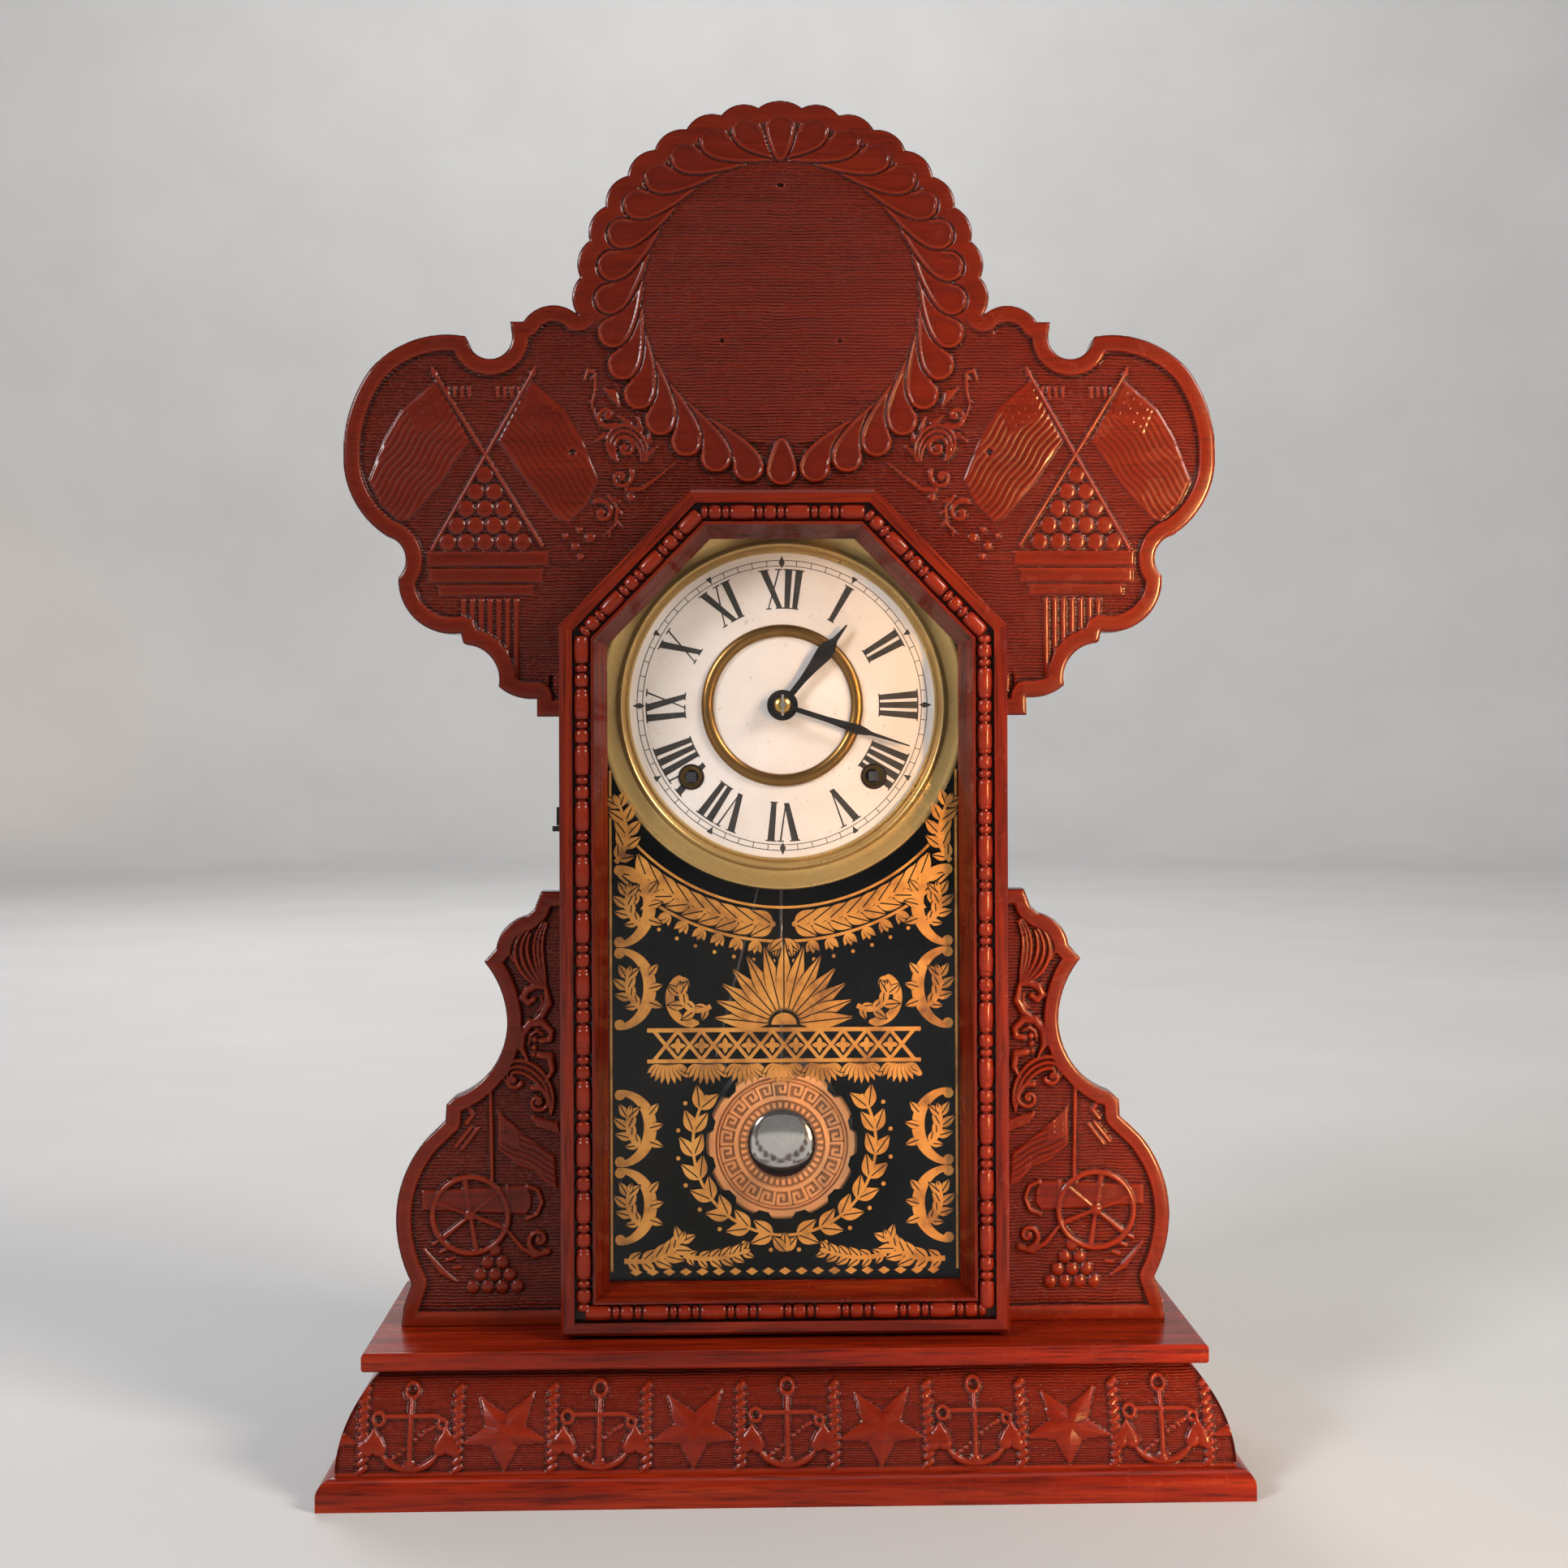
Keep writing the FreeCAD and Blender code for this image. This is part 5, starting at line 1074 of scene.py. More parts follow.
def carve_anchor(c, x):
    """Anchor with a ring, a stock with curled ends, heart-shaped flukes and a chain across it."""
    c.cord([(x, 40.4), (x, 15.4)], 1.2, 1.5)
    c.cord(circle(x, 43.4, 2.6, 20, True), 0.95, 1.5)
    c.cord([(x - 11.0, 34.4), (x + 10.0, 34.4), (x + 12.2, 33.4)], 1.05, 1.4)
    for curl_x, curl_z, size in ((x - 13.0, 33.6, 2.3), (x + 13.0, 31.4, 1.7)):
        c.cord(circle(curl_x, curl_z, size, 16, True), 0.9, 1.5)
    arms = [(x + 13.0 * math.sin(t), 26.6 - 12.4 * math.cos(t)) for t in np.linspace(-0.98, 0.98, 15)]
    c.cord(arms, [1.0, 1.2] + [1.6] * 11 + [1.2, 1.0], 1.5)
    c.cord([(x, 16.0), (x, 13.6)], [2.6, 0.4], 1.5)
    for middle in (x - 14.6, x + 14.6):
        for lobe in (-2.3, 2.3):
            fluke = [(middle + lobe, 22.4), (middle + 0.4 * lobe, 25.6), (middle, 30.4)]
            c.cord(fluke, [3.1, 2.9, 0.4], 1.7, 3.0)
    links = 12
    for n in range(links + 1):
        t = n / links
        link_x = x + 9.4 * math.cos(math.pi * t) * (1 - 0.15 * t)
        c.ball(link_x, 30.5 - 13.0 * t + 1.6 * math.sin(TAU * t), 0.85, 1.1)


def base_motifs(c):
    """Anchors and stars in turn, with rope between."""
    for k in (-4, -2, 0, 2, 4):
        carve_anchor(c, k * MOTIF_PITCH)
    for k in (-5, -3, -1, 1, 3, 5):
        c.facet_star(k * MOTIF_PITCH, 28.6, STAR_TIPS, STAR_NOTCHES, 2.5, 0.7, 0.5)
    for k in range(-5, 5):
        x = (k + 0.5) * MOTIF_PITCH
        for n in range(10):
            z = 13.6 + 3.25 * n
            c.cord([(x - 1.0, z), (x + 1.0, z + 1.5)], 1.5, 1.55)


def base_moulding():
    """Carved front of the base: the ovolo of the CAD piece with motifs raised along its normal."""
    low_z, high_z, foot_half, front, lean = 12.0, 51.0, 182.9, -55.4, 17.0
    thickness = 10.0
    radius = (lean ** 2 + (high_z - low_z) ** 2) / (2 * lean)
    columns, rows = 720, 84
    sweep = np.linspace(0, math.asin((high_z - low_z) / radius), rows + 1)
    y = front + radius * (1 - np.cos(sweep))
    half = foot_half - (y - front)
    gx = np.linspace(-1, 1, columns + 1)[:, None] * half
    gy = np.repeat(y[None, :], columns + 1, 0)
    gz = np.repeat((low_z + radius * np.sin(sweep))[None, :], columns + 1, 0)
    c = Carving(gx.ravel(), gz.ravel())
    base_motifs(c)
    edge = np.minimum(gz - low_z, high_z - gz)
    share = smooth_step(0.6, 1.6, edge) * smooth_step(0.0, 0.8, half - np.abs(gx))
    level = (-1.0 + np.minimum(0.85 * c.h, 1.7)).reshape(gx.shape) * share
    around = soften(level, 12)
    py, pz = gy - level * np.cos(sweep), gz + level * np.sin(sweep)
    points = np.stack([gx, py, pz], -1).reshape(-1, 3).tolist()
    wide = rows + 1
    faces = []
    for i in range(columns):
        for a in range(i * wide, i * wide + rows):
            faces.append([a, a + wide, a + wide + 1, a + 1])
    carved = len(faces)

    border = ([(i, 0) for i in range(columns)] + [(columns, j) for j in range(rows)]
              + [(i, rows) for i in range(columns, 0, -1)] + [(0, j) for j in range(rows, 0, -1)])
    start, count = len(points), len(border)
    points += [points[i * wide + j] for i, j in border]
    for n, (i, j) in enumerate(border):
        x, y, z = points[start + n]
        points.append([x * (1 - thickness / half[j]), y + thickness, z])
    for n in range(count):
        m = (n + 1) % count
        faces.append([start + n, start + count + n, start + count + m, start + m])
    faces.append([start + count + n for n in reversed(range(count))])
    obj = place_mesh("base_moulding", points, faces)
    obj.data.polygons.foreach_set("use_smooth", [True] * carved + [False] * (len(faces) - carved))
    # painted shade by hollow, deepest on the low ground and at the sides and back; the raised-tops mark
    # lightens tops, part wear and part painted highlight
    hollow = np.clip((around - level) * 1.5 + 0.22 * smooth_step(-0.2, -1.0, level), 0, 1)
    wear_and_highlight = np.clip((level - around) * 1.5, 0, 1)
    plain = c.plain.reshape(gx.shape) * share
    extra = len(points) - gx.size
    set_marks(obj.data, {"hollow": np.append(hollow, np.full(extra, 0.3)),
                         "wear_and_highlight": np.append(wear_and_highlight, np.zeros(extra)),
                         "ground": np.append(plain, np.zeros(extra))})
    fit(obj, "case", BASE_WOOD, "mahogany_wood", "base_front")


# Bead-and-reel strips in the door's channel

REPEAT, CORNER_GAP = 25.4, 0.3


def door_corners(inset):
    """Six corners of the door's outline moved in by inset, from the lower left round by the right."""
    half, foot, top = DOOR_HALF - inset, DOOR_FOOT + inset, DOOR_TOP - inset
    reach = CANT_REACH - inset
    shoulder = (reach * CANT_LENGTH - half * CANT_DROP) / CANT_RUN
    crown = (reach * CANT_LENGTH - top * CANT_RUN) / CANT_DROP
    return [(-half, foot), (half, foot), (half, shoulder), (crown, top), (-crown, top), (-half, shoulder)]


def reel_unit():
    """One repeat of the strip: a long bead, a ring, a short bead, a ring, with necks between."""
    neck, neck_radius, lip, sides = 0.7, 2.1, 0.02, 22
    profile = []
    cursor = -REPEAT / 2
    for length, low, high, blunt in ((11.2, 2.9, 3.7, 0.28), (3.0, 2.6, 3.35, 0.6), (5.4, 2.8, 3.6, 0.4),
                                     (3.0, 2.6, 3.35, 0.6)):
        cursor += neck / 2
        profile.append((cursor - lip, neck_radius))
        for k in range(9):
            t = 0.5 - 0.5 * math.cos(math.pi * k / 8)
            profile.append((cursor + length * t, low + (high - low) * math.sin(math.pi * t) ** blunt))
        cursor += length
        profile.append((cursor + lip, neck_radius))
        cursor += neck / 2
    points, faces = [], []
    for x, radius in profile:
        points += [(x, y, z) for y, z in circle(0, 0, radius, sides)]
    last = (len(profile) - 1) * sides
    for low in range(0, last, sides):
        for k in range(sides):
            n = (k + 1) % sides
            faces.append([low + k, low + n, low + sides + n, low + sides + k])
    faces.append(list(range(sides)))
    faces.append([last + k for k in range(sides)])
    return face_outwards(place_mesh("reel_unit", points, faces))


def strip_tree():
    """Node tree that threads the unit along every edge of the mesh it is given, stretched to fit."""
    tree = bpy.data.node_groups.new("bead_strip", "GeometryNodeTree")
    face = tree.interface
    face.new_socket("Members", in_out="INPUT", socket_type="NodeSocketGeometry")
    sockets = {}
    for name, kind in (("Repeat", "Float"), ("Unit", "Object"), ("Wood", "Material")):
        sockets[name] = face.new_socket(name, in_out="INPUT", socket_type="NodeSocket" + kind).identifier
    face.new_socket("Strip", in_out="OUTPUT", socket_type="NodeSocketGeometry")
    add = tree.nodes.new
    start, end = add("NodeGroupInput"), add("NodeGroupOutput")
    path, even = add("GeometryNodeMeshToCurve"), add("GeometryNodeResampleCurve")
    thread, piece = add("GeometryNodeInstanceOnPoints"), add("GeometryNodeObjectInfo")
    tangent, aim = add("GeometryNodeInputTangent"), add("FunctionNodeAlignRotationToVector")
    stretch, fitted = add("GeometryNodeInputNamedAttribute"), add("ShaderNodeCombineXYZ")
    real, stain = add("GeometryNodeRealizeInstances"), add("GeometryNodeSetMaterial")
    even.mode = "LENGTH"
    aim.axis = "X"
    stretch.data_type = "FLOAT"
    stretch.inputs["Name"].default_value = "stretch"
    fitted.inputs["Y"].default_value = fitted.inputs["Z"].default_value = 1.0
    for giver, out, taker, into in (
            (start, "Members", path, "Mesh"), (path, "Curve", even, "Curve"),
            (start, "Repeat", even, "Length"), (even, "Curve", thread, "Points"),
            (start, "Unit", piece, "Object"), (piece, "Geometry", thread, "Instance"),
            (tangent, "Tangent", aim, "Vector"),
            (aim, "Rotation", thread, "Rotation"), (stretch, "Attribute", fitted, "X"),
            (fitted, "Vector", thread, "Scale"), (thread, "Instances", real, "Geometry"),
            (real, "Geometry", stain, "Geometry"), (start, "Wood", stain, "Material"),
            (stain, "Geometry", end, "Strip")):
        tree.links.new(giver.outputs[out], taker.inputs[into])
    return tree, sockets


def bead_strips():
    corners = door_corners(BEAD_LINE)
    points, edges, stretch = [], [], []
    for (ax, az), (bx, bz) in zip(corners, corners[1:] + corners[:1]):
        whole = math.hypot(bx - ax, bz - az)
        length = whole - 2 * CORNER_GAP
        count = max(1, round(length / REPEAT))
        edges.append((len(points), len(points) + 1))
        stretch += [length / count / REPEAT] * 2
        cut = (0.5 * length / count + CORNER_GAP) / whole
        for t in (cut, 1 - cut):
            points.append(((ax + (bx - ax) * t) * MM, BEAD_AXIS * MM, (az + (bz - az) * t) * MM))
    mesh = bpy.data.meshes.new("bead_lines")
    mesh.from_pydata(points, edges, [])
    set_marks(mesh, {"stretch": stretch})
    lines = bpy.data.objects.new("bead_lines", mesh)
    bpy.context.scene.collection.objects.link(lines)
    unit = reel_unit()
    tree, sockets = strip_tree()
    layer = lines.modifiers.new("strip", "NODES")
    layer.node_group = tree
    layer[sockets["Repeat"]] = 0.85 * REPEAT * MM
    layer[sockets["Unit"]] = unit
    layer[sockets["Wood"]] = BEAD_WOOD
    done = bpy.data.meshes.new_from_object(lines.evaluated_get(bpy.context.evaluated_depsgraph_get()))
    bpy.data.objects.remove(lines)
    bpy.data.objects.remove(unit)
    strip = bpy.data.objects.new("bead_strips", done)
    bpy.context.scene.collection.objects.link(strip)
    co = np.empty(len(done.vertices) * 3)
    done.vertices.foreach_get("co", co)
    y = co[1::3] / MM
    # painted shade growing deeper behind the door's front, and lighter bead fronts, part wear and part
    # painted highlight
    set_marks(done, {"hollow": np.clip((y - DOOR_FRONT) / 2.0, 0, 1),
                     "wear_and_highlight": np.clip((DOOR_FRONT + 0.1 - y) / 0.8, 0, 1) * 0.4,
                     "ground": np.zeros(len(y))})
    done.polygons.foreach_set("use_smooth", [True] * len(done.polygons))
    done.set_sharp_from_angle(angle=math.radians(50))
    fit(strip, "door", BEAD_WOOD, "mahogany_wood", "door_beading")


# Flat prints on the dial and on the glass

class Print:
    """Flat printed shapes in one layer: a later shape covers the earlier, and a bare one leaves a gap."""

    def __init__(self):
        self.rings, self.shown = [], []

    def add(self, ring, shown=True):
        self.rings.append(ring)
        self.shown.append(shown)

    def both(self, ring, shown=True):
        self.add(ring, shown)
        self.add([(-x, z) for x, z in ring], shown)

    def sheet(self, name, depth):
        """One mesh at that depth; each spot belongs to the last shape drawn over it."""
        spots, loops = [], []
        for ring in self.rings:
            loops.append(list(range(len(spots), len(spots) + len(ring))))
            spots += [Vector(spot) for spot in ring]
        flat, _, pieces, *_ = delaunay_2d_cdt(spots, [], loops, 0, 1e-6, False)
        flat = np.array(flat)
        middles = flat[np.array(pieces)].mean(axis=1)
        last = np.full(len(pieces), -1)
        for order, ring in enumerate(self.rings):
            last[inside_ring(ring, middles)] = order
        faces = [pieces[k] for k in np.flatnonzero(last >= 0) if self.shown[last[k]]]
        used = {spot: k for k, spot in enumerate(sorted({spot for face in faces for spot in face}))}
        points = [(flat[spot][0], depth, flat[spot][1]) for spot in used]
        return place_mesh(name, points, [[used[spot] for spot in face] for face in faces], False)

    def line(self, row, width, mirror=True):
        """Ribbon along points; width is a half-width or one for each point."""
        draw = self.both if mirror else self.add
        widths = list(width) if isinstance(width, (list, tuple)) else [width] * len(row)
        sides = []
        for k, (x, z) in enumerate(row):
            ax, az = row[max(k - 1, 0)]
            bx, bz = row[min(k + 1, len(row) - 1)]
            size = math.hypot(bx - ax, bz - az) or 1
            nx, nz = -(bz - az) / size * widths[k], (bx - ax) / size * widths[k]
            sides.append(((x + nx, z + nz), (x - nx, z - nz)))
        for (a, b), (d, e) in zip(sides, sides[1:]):
            draw([a, b, e, d])

    def disc(self, x, z, radius, mirror=True):
        (self.both if mirror else self.add)(circle(x, z, radius, 14))

    def leaf(self, x, z, angle, length, width, mirror=True, vein=True, rim=0.3):
        """Pointed leaf from (x, z); a bare vein splits it, and a bare rim parts it from what it covers."""
        draw = self.both if mirror else self.add
        a = math.radians(angle)
        ux, uz = math.cos(a), math.sin(a)

        def spot(t, side):
            return x + ux * length * t - uz * side, z + uz * length * t + ux * side

        swells = [(k / 8, width * math.sin(math.pi * (k / 8) ** 0.8)) for k in range(9)]
        if rim:
            left = [spot(0.06 + t, swell + rim) for t, swell in swells]
            right = [spot(0.06 + t, -swell - rim) for t, swell in swells]
            draw(left + right[::-1], False)
        gap = 0.28 if vein else 0.0
        for side in (1, -1):
            row = [spot(t, side * max(swell, gap)) for t, swell in swells]
            draw(row + [spot(t, side * gap) for t in (0.95, 0.5, 0.05)])


# Dial: brass rim, inner ring and the printed chapter ring

NUMERALS = ("XII", "I", "II", "III", "IIII", "V", "VI", "VII", "VIII", "IX", "X", "XI")
NUMERAL_LOW, NUMERAL_HIGH = 42.0, 58.2
THICK_STROKE, THIN_STROKE = 3.1 / NUMERAL_HIGH, 0.75 / NUMERAL_HIGH
LETTER_WIDTHS = {"I": 4.6 / NUMERAL_HIGH, "V": 10.2 / NUMERAL_HIGH, "X": 10.6 / NUMERAL_HIGH}
SERIF_OUT, SERIF_IN = 0.45, 0.1
TRACK_LOW, TRACK_HIGH, TRACK_LINE = 59.9, 62.3, 0.16
GROMMET_HOLE = 5.2
PRINT_PROUD = 0.06


def dial_brass():
    rim = [(65.5, -8.0), (65.5, -9.3), (65.9, -9.9), (66.5, -9.9), (66.9, -9.3), (67.2, -9.4), (67.6, -11.4),
           (68.1, -12.4), (68.9, -12.9), (69.8, -12.6), (70.4, -11.8), (70.8, -11.3), (71.6, -11.1),
           (74.5, -11.4), (76.6, -11.9), (77.7, -12.3), (78.5, -12.1), (78.99, -11.3), (78.99, -8.0)]
    fit(turned("dial_rim", rim, 0, DIAL_Z, 240), "case", BEZEL_BRASS, "brass", "dial_bezel")
    middle, half, height = 32.15, 2.65, 2.3
    ring = [(middle - half, DIAL_FACE)]
    for k in range(1, 12):
        a = math.pi * k / 12
        ring.append((middle - half * math.cos(a), DIAL_FACE - height * math.sin(a) ** 0.8))
    ring.append((middle + half, DIAL_FACE))
    fit(turned("dial_inner_ring", ring, 0, DIAL_Z, 180), "case", BRONZE, "brass", "dial_ring")


class DialPrint(Print):
    """Print laid out by angle, clockwise from the top, and radius."""

    def shape(self, *corners):
        self.add([(r * math.sin(a), DIAL_Z + r * math.cos(a)) for a, r in corners])

    def arc(self, angle, half, low, high):
        steps = max(1, int(math.degrees(2 * half) / 1.5))
        for k in range(steps):
            a = angle - half + 2 * half * k / steps
            b = angle - half + 2 * half * (k + 1) / steps
            self.shape((a, low), (b, low), (b, high), (a, high))

    def stroke(self, a, b, weight):
        """Stroke from angle a at the inner circle to angle b at the outer one."""
        half = weight / 2
        self.shape((a - half, NUMERAL_LOW), (a + half, NUMERAL_LOW), (b + half, NUMERAL_HIGH),
                   (b - half, NUMERAL_HIGH))

    def foot(self, angle, half):
        self.arc(angle, half, NUMERAL_LOW - SERIF_OUT, NUMERAL_LOW + SERIF_IN)

    def head(self, angle, half):
        self.arc(angle, half, NUMERAL_HIGH - SERIF_IN, NUMERAL_HIGH + SERIF_OUT)

    def letter(self, letter, here):
        wide = LETTER_WIDTHS[letter]
        if letter == "I":
            self.stroke(here, here, THICK_STROKE)
            self.foot(here, 0.50 * wide)
            self.head(here, 0.50 * wide)
        elif letter == "V":
            self.stroke(here - 0.02 / NUMERAL_HIGH, here - 0.30 * wide, THICK_STROKE)
            self.stroke(here + 0.35 / NUMERAL_HIGH, here + 0.32 * wide, THIN_STROKE)
            self.head(here - 0.30 * wide, 0.22 * wide)
            self.head(here + 0.32 * wide, 0.14 * wide)
        else:
            self.stroke(here + 0.30 * wide, here - 0.30 * wide, THICK_STROKE)
            self.stroke(here - 0.32 * wide, here + 0.32 * wide, THIN_STROKE)
            for side, reach in ((-1, 0.22), (1, 0.15)):
                self.head(here + side * 0.31 * wide, reach * wide)
                self.foot(here - side * 0.31 * wide, reach * wide)

    def minute_mark(self, minute):
        """Lozenge at each quarter, wedge at the other fives and a tick between."""
        a = TAU * minute / 60
        if minute % 15 == 0:
            half = 1.35 / 61
            self.shape((a, 58.9), (a + half, 61.2), (a, 64.3), (a - half, 61.2))
        elif minute % 5 == 0:
            half = 1.3 / 62
            self.shape((a, 60.0), (a + half, 63.2), (a - half, 63.2))
        else:
            half = TRACK_LINE / 61
            self.shape((a - half, TRACK_LOW), (a + half, TRACK_LOW), (a + half, TRACK_HIGH),
                       (a - half, TRACK_HIGH))


def dial_print():
    """Numerals set on the radius, minute track and marks, a hair proud of the dial, clear of the holes."""
    ink = DialPrint()
    for hour, word in enumerate(NUMERALS):
        cursor = TAU * hour / 12 - sum(LETTER_WIDTHS[letter] for letter in word) / 2
        for letter in word:
            ink.letter(letter, cursor + LETTER_WIDTHS[letter] / 2)
            cursor += LETTER_WIDTHS[letter]
    for radius in (TRACK_LOW, TRACK_HIGH):
        ink.arc(math.pi, math.pi, radius - TRACK_LINE, radius + TRACK_LINE)
    for minute in range(60):
        ink.minute_mark(minute)
    ink.both(circle(WINDING_X, WINDING_Z, GROMMET_HOLE, 40), False)
    fit(ink.sheet("dial_print", DIAL_FACE - PRINT_PROUD), "case", DIAL_INK, "black_iron")


# Gilt design on the back of the glass

GILT_PROUD = 0.05


def heading(start, end):
    """Direction from one point to another, in degrees."""
    return math.degrees(math.atan2(end[1] - start[1], end[0] - start[0]))


def frond(g, row, size, count):
    """Full acanthus frond: fat lobes that overlap along a curved stem and end in a point."""
    for k in range(count):
        t = (k + 0.3) / count * (len(row) - 1)
        i = min(int(t), len(row) - 2)
        x = row[i][0] + (row[i + 1][0] - row[i][0]) * (t - i)
        z = row[i][1] + (row[i + 1][1] - row[i][1]) * (t - i)
        long = size * (0.72 + 0.5 * math.sin(math.pi * (0.15 + 0.75 * k / count)))
        for side in (1, -1):
            g.leaf(x, z, heading(row[i], row[i + 1]) + side * 40, long, 0.26 * long)
    g.leaf(*row[-2], heading(row[-2], row[-1]), 0.8 * size, 0.2 * size)
    g.line(row, [1.1 - 0.6 * k / (len(row) - 1) for k in range(len(row))])


def gilt_garland(g):
    """Leaf garland that follows the dial, with drops below it and a knot in the middle."""
    def below_dial(radius, a):
        return radius * math.sin(a), DIAL_Z - radius * math.cos(a)

    leaves, pitch = 9, 0.078
    for radius, width, end in ((85.8, 0.55, 0.96), (100.2, 0.6, 0.77)):
        g.line([below_dial(radius, a) for a in np.linspace(0.0, end, 40)], width)
    for k in range(leaves):
        a = 0.05 + pitch * k
        spot = below_dial(93.0, a)
        for side in (-1, 1):
            g.leaf(*spot, math.degrees(a) + 31 * side, 10.6, 3.0)
        g.disc(*spot, 1.2)
    for k in range(leaves):
        a = 0.04 + pitch * k
        for turn in (-30, 0, 30):
            g.leaf(*below_dial(100.6, a), math.degrees(a) - 90 + turn, 5.6, 1.4, vein=False)
        g.disc(*below_dial(108.6, a), 0.8)
    for turn in (-40, -65, -90, -115, -140):
        g.leaf(0, 224.4, turn, 8.4, 2.0, False)


def gilt_sides(g):
    """Chains of thick C-scrolls with leaves up both sides of the glass."""
    g.line([(73.2, 84.0), (73.2, 296.0)], 0.5)
    swell = [0.7] + [1.2 + 1.5 * math.sin(math.pi * k / 22) for k in range(23)] + [0.7]
    for foot, high in ((187.0, 33.0), (222.0, 33.0), (96.0, 31.0), (129.0, 31.0)):
        g.line(bend((71.0, foot), (53.0, foot + 1.0), (51.0, foot + high - 1.0), (71.0, foot + high)), swell)
        for z in (foot + 1.4, foot + high - 1.4):
            g.disc(69.6, z, 2.2)
        middle = foot + 0.5 * high
        frond(g, bend((60.6, middle - 8.0), (66.0, middle - 5.0), (68.4, middle + 1.0), (65.4, middle + 8.0),
                      count=8), 6.2, 4)
        for turn in (130, 165, 200):
            g.leaf(57.4, middle + 0.16 * (165 - turn), turn, 6.4, 1.7)
    frond(g, bend((71.0, 257.0), (64.0, 264.0), (65.0, 274.0), (71.4, 285.0), count=8), 7.4, 5)


def gilt_fan(g):
    """Fan of plumes on a trellis band, with scrolled arms and a fringe."""
    base = 188.0
    for k in range(-6, 7):
        turn = 90 - 14 * k
        a = math.radians(turn)
        g.leaf(6.5 * math.cos(a), base + 6.0 * math.sin(a), turn, 29.0 - abs(k), 3.3, False)
    g.add([(5.4 * math.cos(a), base + 5.0 * math.sin(a)) for a in np.linspace(0, math.pi, 21)])
    g.line(bend((36.0, 189.0), (50.0, 187.0), (54.0, 203.0), (46.0, 214.0), (36.0, 208.0), (43.0, 202.0)),
           [0.6] + [1.9] * 16 + [0.9] * 8)
    frond(g, bend((31.0, 196.0), (38.0, 191.0), (46.0, 196.0), (44.0, 205.0), count=8), 6.0, 4)
    for low, high in ((172.0, 173.6), (185.0, 186.8)):
        g.add([(-58.0, low), (58.0, low), (58.0, high), (-58.0, high)])
    for k in range(11):
        x = -50.0 + 10.0 * k
        for side in (1, -1):
            g.line([(x - 5.3 * side, 173.0), (x + 5.3 * side, 185.9)], 0.75, False)
        if k < 10:
            for turn in (0, 90, 180, 270):
                g.leaf(x + 5.0, 179.3, turn, 3.4, 1.1, False, False, 0)
    for k in range(-3, 4):
        for j in range(-4, 5):
            reach = 9.4 - 0.16 * j * j - 0.2 * abs(k)
            g.leaf(16.4 * k + 1.0 * j, 171.6, -90 + 13 * j, reach, 1.25, False, False)
        g.disc(16.4 * k + 8.2, 167.0, 1.2, False)


def gilt_wreath(g):
    """Two leaf branches round the bob, sprays in the lower corners and a row of diamonds."""
    middle, radius, berry_reach, opening = 137.6, 38.8, 1.17, 158.0
    for k in range(24):
        a = TAU * (k + 0.5) / 24
        x, z = radius * math.cos(a), middle + radius * math.sin(a)
        if z > opening:
            continue
        turn = math.degrees(a) + (90 if x > 0 else -90)
        for side in (-1, 1):
            g.leaf(x, z, turn + 29 * side, 10.2, 2.7, False)
        g.disc(x * berry_reach, middle + (z - middle) * berry_reach, 0.9, False)
    stem = np.linspace(math.pi * 0.82, math.pi * 2.18, 60)
    g.line([(radius * math.cos(a), middle + radius * math.sin(a)) for a in stem], 0.6, False)
    frond(g, bend((68.0, 88.4), (56.0, 87.0), (46.0, 90.0), (43.0, 99.0), count=8), 7.0, 6)
    frond(g, bend((43.0, 90.6), (33.0, 87.4), (24.0, 89.4), (15.0, 92.6), count=8), 5.4, 6)
    for k in range(-9, 10):
        x = 7.0 * k
        g.add([(x - 2.6, 83.6), (x, 82.0), (x + 2.6, 83.6), (x, 85.2)])
    for turn in (50, 90, 130):
        g.leaf(0, 92.0, turn, 8.0, 2.2, False)


def gilt_design():
    """Garland, scrolled sides, fan over a trellis and a wreath, all printed on the back of the glass."""
    g = Print()
    gilt_garland(g)
    gilt_sides(g)
    gilt_fan(g)
    gilt_wreath(g)
    fit(g.sheet("gilt_design", GLASS_BACK + GILT_PROUD), "door", GILT, "brass")


# Pendulum bob

MEANDER_UNIT, MEANDER_LOW, MEANDER_HIGH = 5.4, 20.6, 27.8
NOTCH_REACH, TOOTH_REACH = 31.4, 2.6
STEP_START, BLANK_RADIUS = 29.0, 34.0


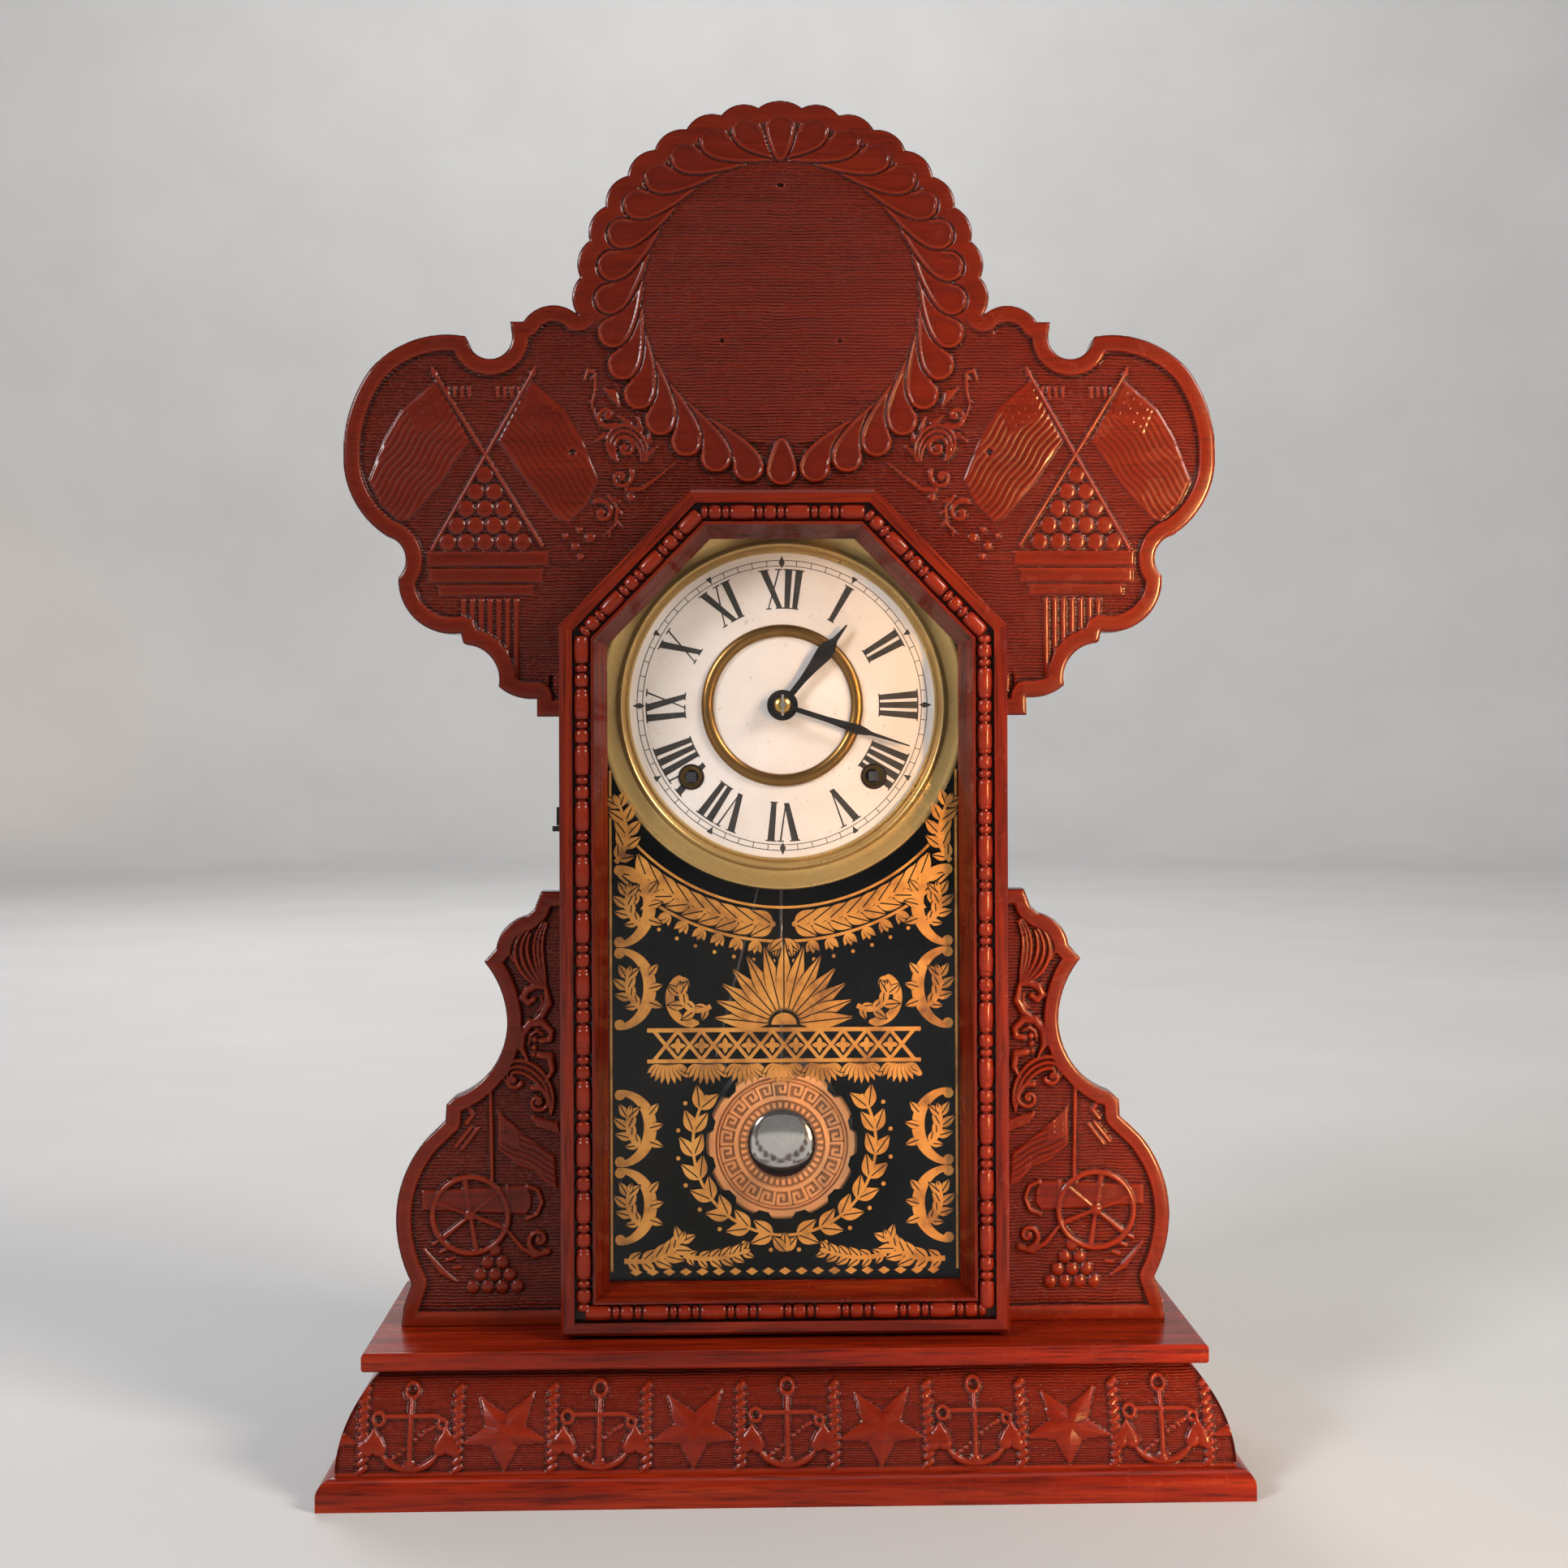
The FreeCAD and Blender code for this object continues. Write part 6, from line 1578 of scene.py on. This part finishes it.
def stamped_bob():
    """Brass bob pressed with a meander band, a toothed ring and a stepped edge."""
    around, teeth, keys, small = 720, 12, 22, 40
    radii = np.concatenate([np.linspace(0.5, 15.0, 5), np.linspace(15.4, BLANK_RADIUS, 60)])
    angles = np.arange(around) * TAU / around
    notch = (np.cos(angles * teeth) > -0.35).astype(float)
    notch = np.convolve(np.concatenate([notch[-3:], notch, notch[:3]]), np.ones(7) / 7, "same")[3:-3]
    reach = NOTCH_REACH + TOOTH_REACH * notch
    r = np.repeat(radii[None, :], around, 0)
    edge = STEP_START + (r - STEP_START) * (reach[:, None] - STEP_START) / (BLANK_RADIUS - STEP_START)
    r = np.where(r > STEP_START, edge, r)
    a = np.repeat(angles[:, None], len(radii), 1)
    u = (a / TAU * keys) % 1.0
    v = (r - MEANDER_LOW) / (MEANDER_HIGH - MEANDER_LOW)
    c = Carving(np.ravel(u * MEANDER_UNIT), np.ravel(v * MEANDER_UNIT))
    for x in (0, MEANDER_UNIT):
        c.cord([(x - MEANDER_UNIT, 0.35), (x, 0.35), (x, 5.0), (x - 4.0, 5.0), (x - 4.0, 2.1), (x - 2.2, 2.1),
                (x - 2.2, 3.5)], 0.62, 1.0, 6.0)
    band = c.h.reshape(r.shape) * (r > 20.4) * (r < 28.2)
    toothed = (np.sin(a * small) > -0.1) * smooth_step(16.0, 16.5, r) * smooth_step(19.0, 18.5, r)
    ribs = np.exp(-((r - 19.9) / 0.4) ** 4) + np.exp(-((r - 28.9) / 0.5) ** 4)
    steps = smooth_step(29.8, 30.3, r) * (1 - 0.9 * smooth_step(32.8, 33.8, r))
    h = np.maximum.reduce([band, toothed, ribs, steps])
    y = BOB_FRONT + 1.1 - h
    points = np.stack([r * np.cos(a), y, BOB_Z + r * np.sin(a)], -1).reshape(-1, 3).tolist()
    points += np.stack([reach * np.cos(angles), np.full(around, BOB_BACK), BOB_Z + reach * np.sin(angles)],
                       -1).tolist()
    wide = len(radii)
    back = around * wide
    faces = []
    for i in range(around):
        n = (i + 1) % around
        for j in range(wide - 1):
            faces.append([i * wide + j, n * wide + j, n * wide + j + 1, i * wide + j + 1])
        faces.append([i * wide + wide - 1, n * wide + wide - 1, back + n, back + i])
    faces.append([i * wide for i in reversed(range(around))])
    faces.append([back + i for i in range(around)])
    obj = place_mesh("stamped_bob", points, faces)
    set_marks(obj.data, {"hollow": np.append(np.clip(1.0 - 1.3 * h, 0, 1), np.full(around, 0.5))})
    face_outwards(obj, 42)
    fit(obj, "pendulum", STAMPED_BRASS, "brass", "pendulum_bob")


def nickel_boss():
    """Polished dome in the middle of the bob."""
    radius, seat, rise = 15.8, 35.2, 3.2
    dome = [(0.0, seat), (radius, seat)]
    for t in np.linspace(0.05, math.pi / 2, 18)[:-1]:
        dome.append((radius * math.cos(t), seat - rise * math.sin(t)))
    dome.append((0.0, seat - rise))
    fit(turned("nickel_boss", dome, 0, BOB_Z, 120, 60), "pendulum", POLISHED_NICKEL, "silvered", "bob_boss")


# CAD pieces that keep their shape get their finish here.

FINISHES = {
    STILE_WOOD: ["door_stile_left", "door_stile_right", "case_sides"],
    TOP_RAIL_WOOD: ["door_top_rail", "case_top"],
    LOW_RAIL_WOOD: ["door_bottom_rail"],
    PLINTH_WOOD: ["plinth", "shelf"],
    RETURN_WOOD: ["base_sides"],
    CANT_WOOD: ["door_cants", "case_cants"],
    BACK_WOOD: ["back_board"],
    BLOCK_WOOD: ["base_back", "glass_stops", "dial_cleats"],
    CLOCK_BRASS: ["hand_collet", "front_plate", "back_plate", "pillars", "time_main_wheel", "second_wheel",
                  "center_wheel", "third_wheel", "escape_wheel", "strike_main_wheel", "strike_second_wheel",
                  "strike_third_wheel", "warning_wheel", "fly", "minute_wheel", "hour_wheel"],
    EYELET_BRONZE: ["winding_grommets"],
    ARBOR_STEEL: ["center_arbor", "taper_pin", "verge"],
    SPRING_STEEL: ["mainsprings", "gong_coil", "pendulum_rod", "suspension_spring", "strike_hammer",
                   "time_arbor", "strike_arbor"],
    BLACK_IRON: ["gong_block", "hinge_case_leaves", "hinge_door_leaves", "latch_hook", "latch_pin",
                 "latch_screw"],
    HAND_BLACK: ["hour_hand", "minute_hand"],
    DIAL_WHITE: ["dial_plate"],
    GLASS: ["door_glass"],
}


def finish_cad_pieces():
    for finish, names in FINISHES.items():
        for name in names:
            mesh = NODES[name].data
            mesh.materials.clear()
            mesh.materials.append(finish)


# Studio: places and aims in metres, then the lamp's size, power and colour.

WHITE = (1, 1, 1)
LAMPS = (
    ("key", (-2.5, -2.3, 1.84), (0, 0, 0.26), 0.9, 94, (0.98, 0.98, 1.0)),
    ("warm", (2.3, -1.5, 1.9), (0.1, 0, 0.3), 0.9, 86, (1.0, 0.88, 0.76)),
    ("glow", (0.66, -0.85, 0.28), (0.19, 0, 0.27), 0.08, 0.95, (1.0, 0.55, 0.2)),
    ("top", (0.3, 0.2, 3.5), (0, 0, 0.3), 2.2, 20, WHITE),
    ("back", (-0.9, 2.3, 2.0), (0, 0, 0.3), 1.2, 28, WHITE),
    ("wall_behind", (0.0, 3.0, 3.2), (0, 5.0, 1.2), 2.4, 60, WHITE),
    ("wall_front", (0.0, -3.0, 3.2), (0, -5.0, 1.2), 2.4, 9, WHITE),
    ("wall_left", (-3.0, 0.0, 3.2), (-5.0, 0, 1.2), 2.4, 15, WHITE),
    ("wall_right", (3.0, 0.0, 3.2), (5.0, 0, 1.2), 2.4, 15, WHITE),
)


def round_room():
    """Pale floor, rounded corner and wall in one round sheet, well away from the clock."""
    floor_radius, corner, wall_top, sides = 4200.0, 1000.0, 4600.0, 96
    rows = [(1.0, 0.0)]
    for t in np.linspace(0, math.pi / 2, 16):
        rows.append((floor_radius + corner * math.sin(t), corner - corner * math.cos(t)))
    rows.append((floor_radius + corner, wall_top))
    points = [(0.0, 0.0, 0.0)]
    for radius, height in rows:
        points += [(x, y, height) for x, y in circle(0, 0, radius, sides)]
    faces = [[0, 1 + k, 1 + (k + 1) % sides] for k in range(sides)]
    for row in range(len(rows) - 1):
        low, high = 1 + row * sides, 1 + (row + 1) * sides
        for k in range(sides):
            n = (k + 1) % sides
            faces.append([low + k, high + k, high + n, low + n])
    room = place_mesh("floor", points, faces)
    room.data.materials.append(FLOOR_PALE)


def studio():
    """Round room, soft lamps, a narrow warm one on the clock's right side, and a dim even world."""
    round_room()
    for name, place, aim, size, power, colour in LAMPS:
        lamp = bpy.data.lights.new(name, "AREA")
        lamp.energy, lamp.size, lamp.color = power, size, colour
        if name == "glow":
            lamp.shape, lamp.size_y, lamp.spread = "RECTANGLE", 0.5, math.radians(22)
        holder = bpy.data.objects.new(name, lamp)
        bpy.context.scene.collection.objects.link(holder)
        holder.location = place
        holder.rotation_euler = (Vector(aim) - Vector(place)).to_track_quat("-Z", "Y").to_euler()
    world = bpy.data.worlds.new("studio")
    bpy.context.scene.world = world
    world.use_nodes = True
    sky = world.node_tree.nodes["Background"].inputs
    sky["Color"].default_value = (0.80, 0.81, 0.83, 1)
    sky["Strength"].default_value = 0.16
    bpy.context.scene.view_settings.view_transform = "Standard"


def camera():
    """The photograph's view: a little left of the middle, rolled by a hair, with the frame shifted down."""
    photo_side, focal, shift_right, shift_down = 1932, 2406, 2.5, 51
    distance, height = 0.847, 0.3075
    yaw, roll = math.radians(1.3), math.radians(0.22)
    lens = bpy.data.cameras.new("view")
    lens.sensor_width = 36.0
    lens.lens = lens.sensor_width * focal / photo_side
    lens.shift_x, lens.shift_y = shift_right / photo_side, -shift_down / photo_side
    lens.clip_start, lens.clip_end = 0.01, 30
    holder = bpy.data.objects.new("view", lens)
    bpy.context.scene.collection.objects.link(holder)
    holder.location = (-distance * math.sin(yaw), -distance * math.cos(yaw), height)
    holder.rotation_euler = (math.pi / 2, roll, -yaw)
    bpy.context.scene.camera = holder


finish_cad_pieces()
crest()
side_scrolls()
base_moulding()
bead_strips()
dial_brass()
dial_print()
gilt_design()
stamped_bob()
nickel_boss()
studio()
camera()

bpy.context.view_layer.update()
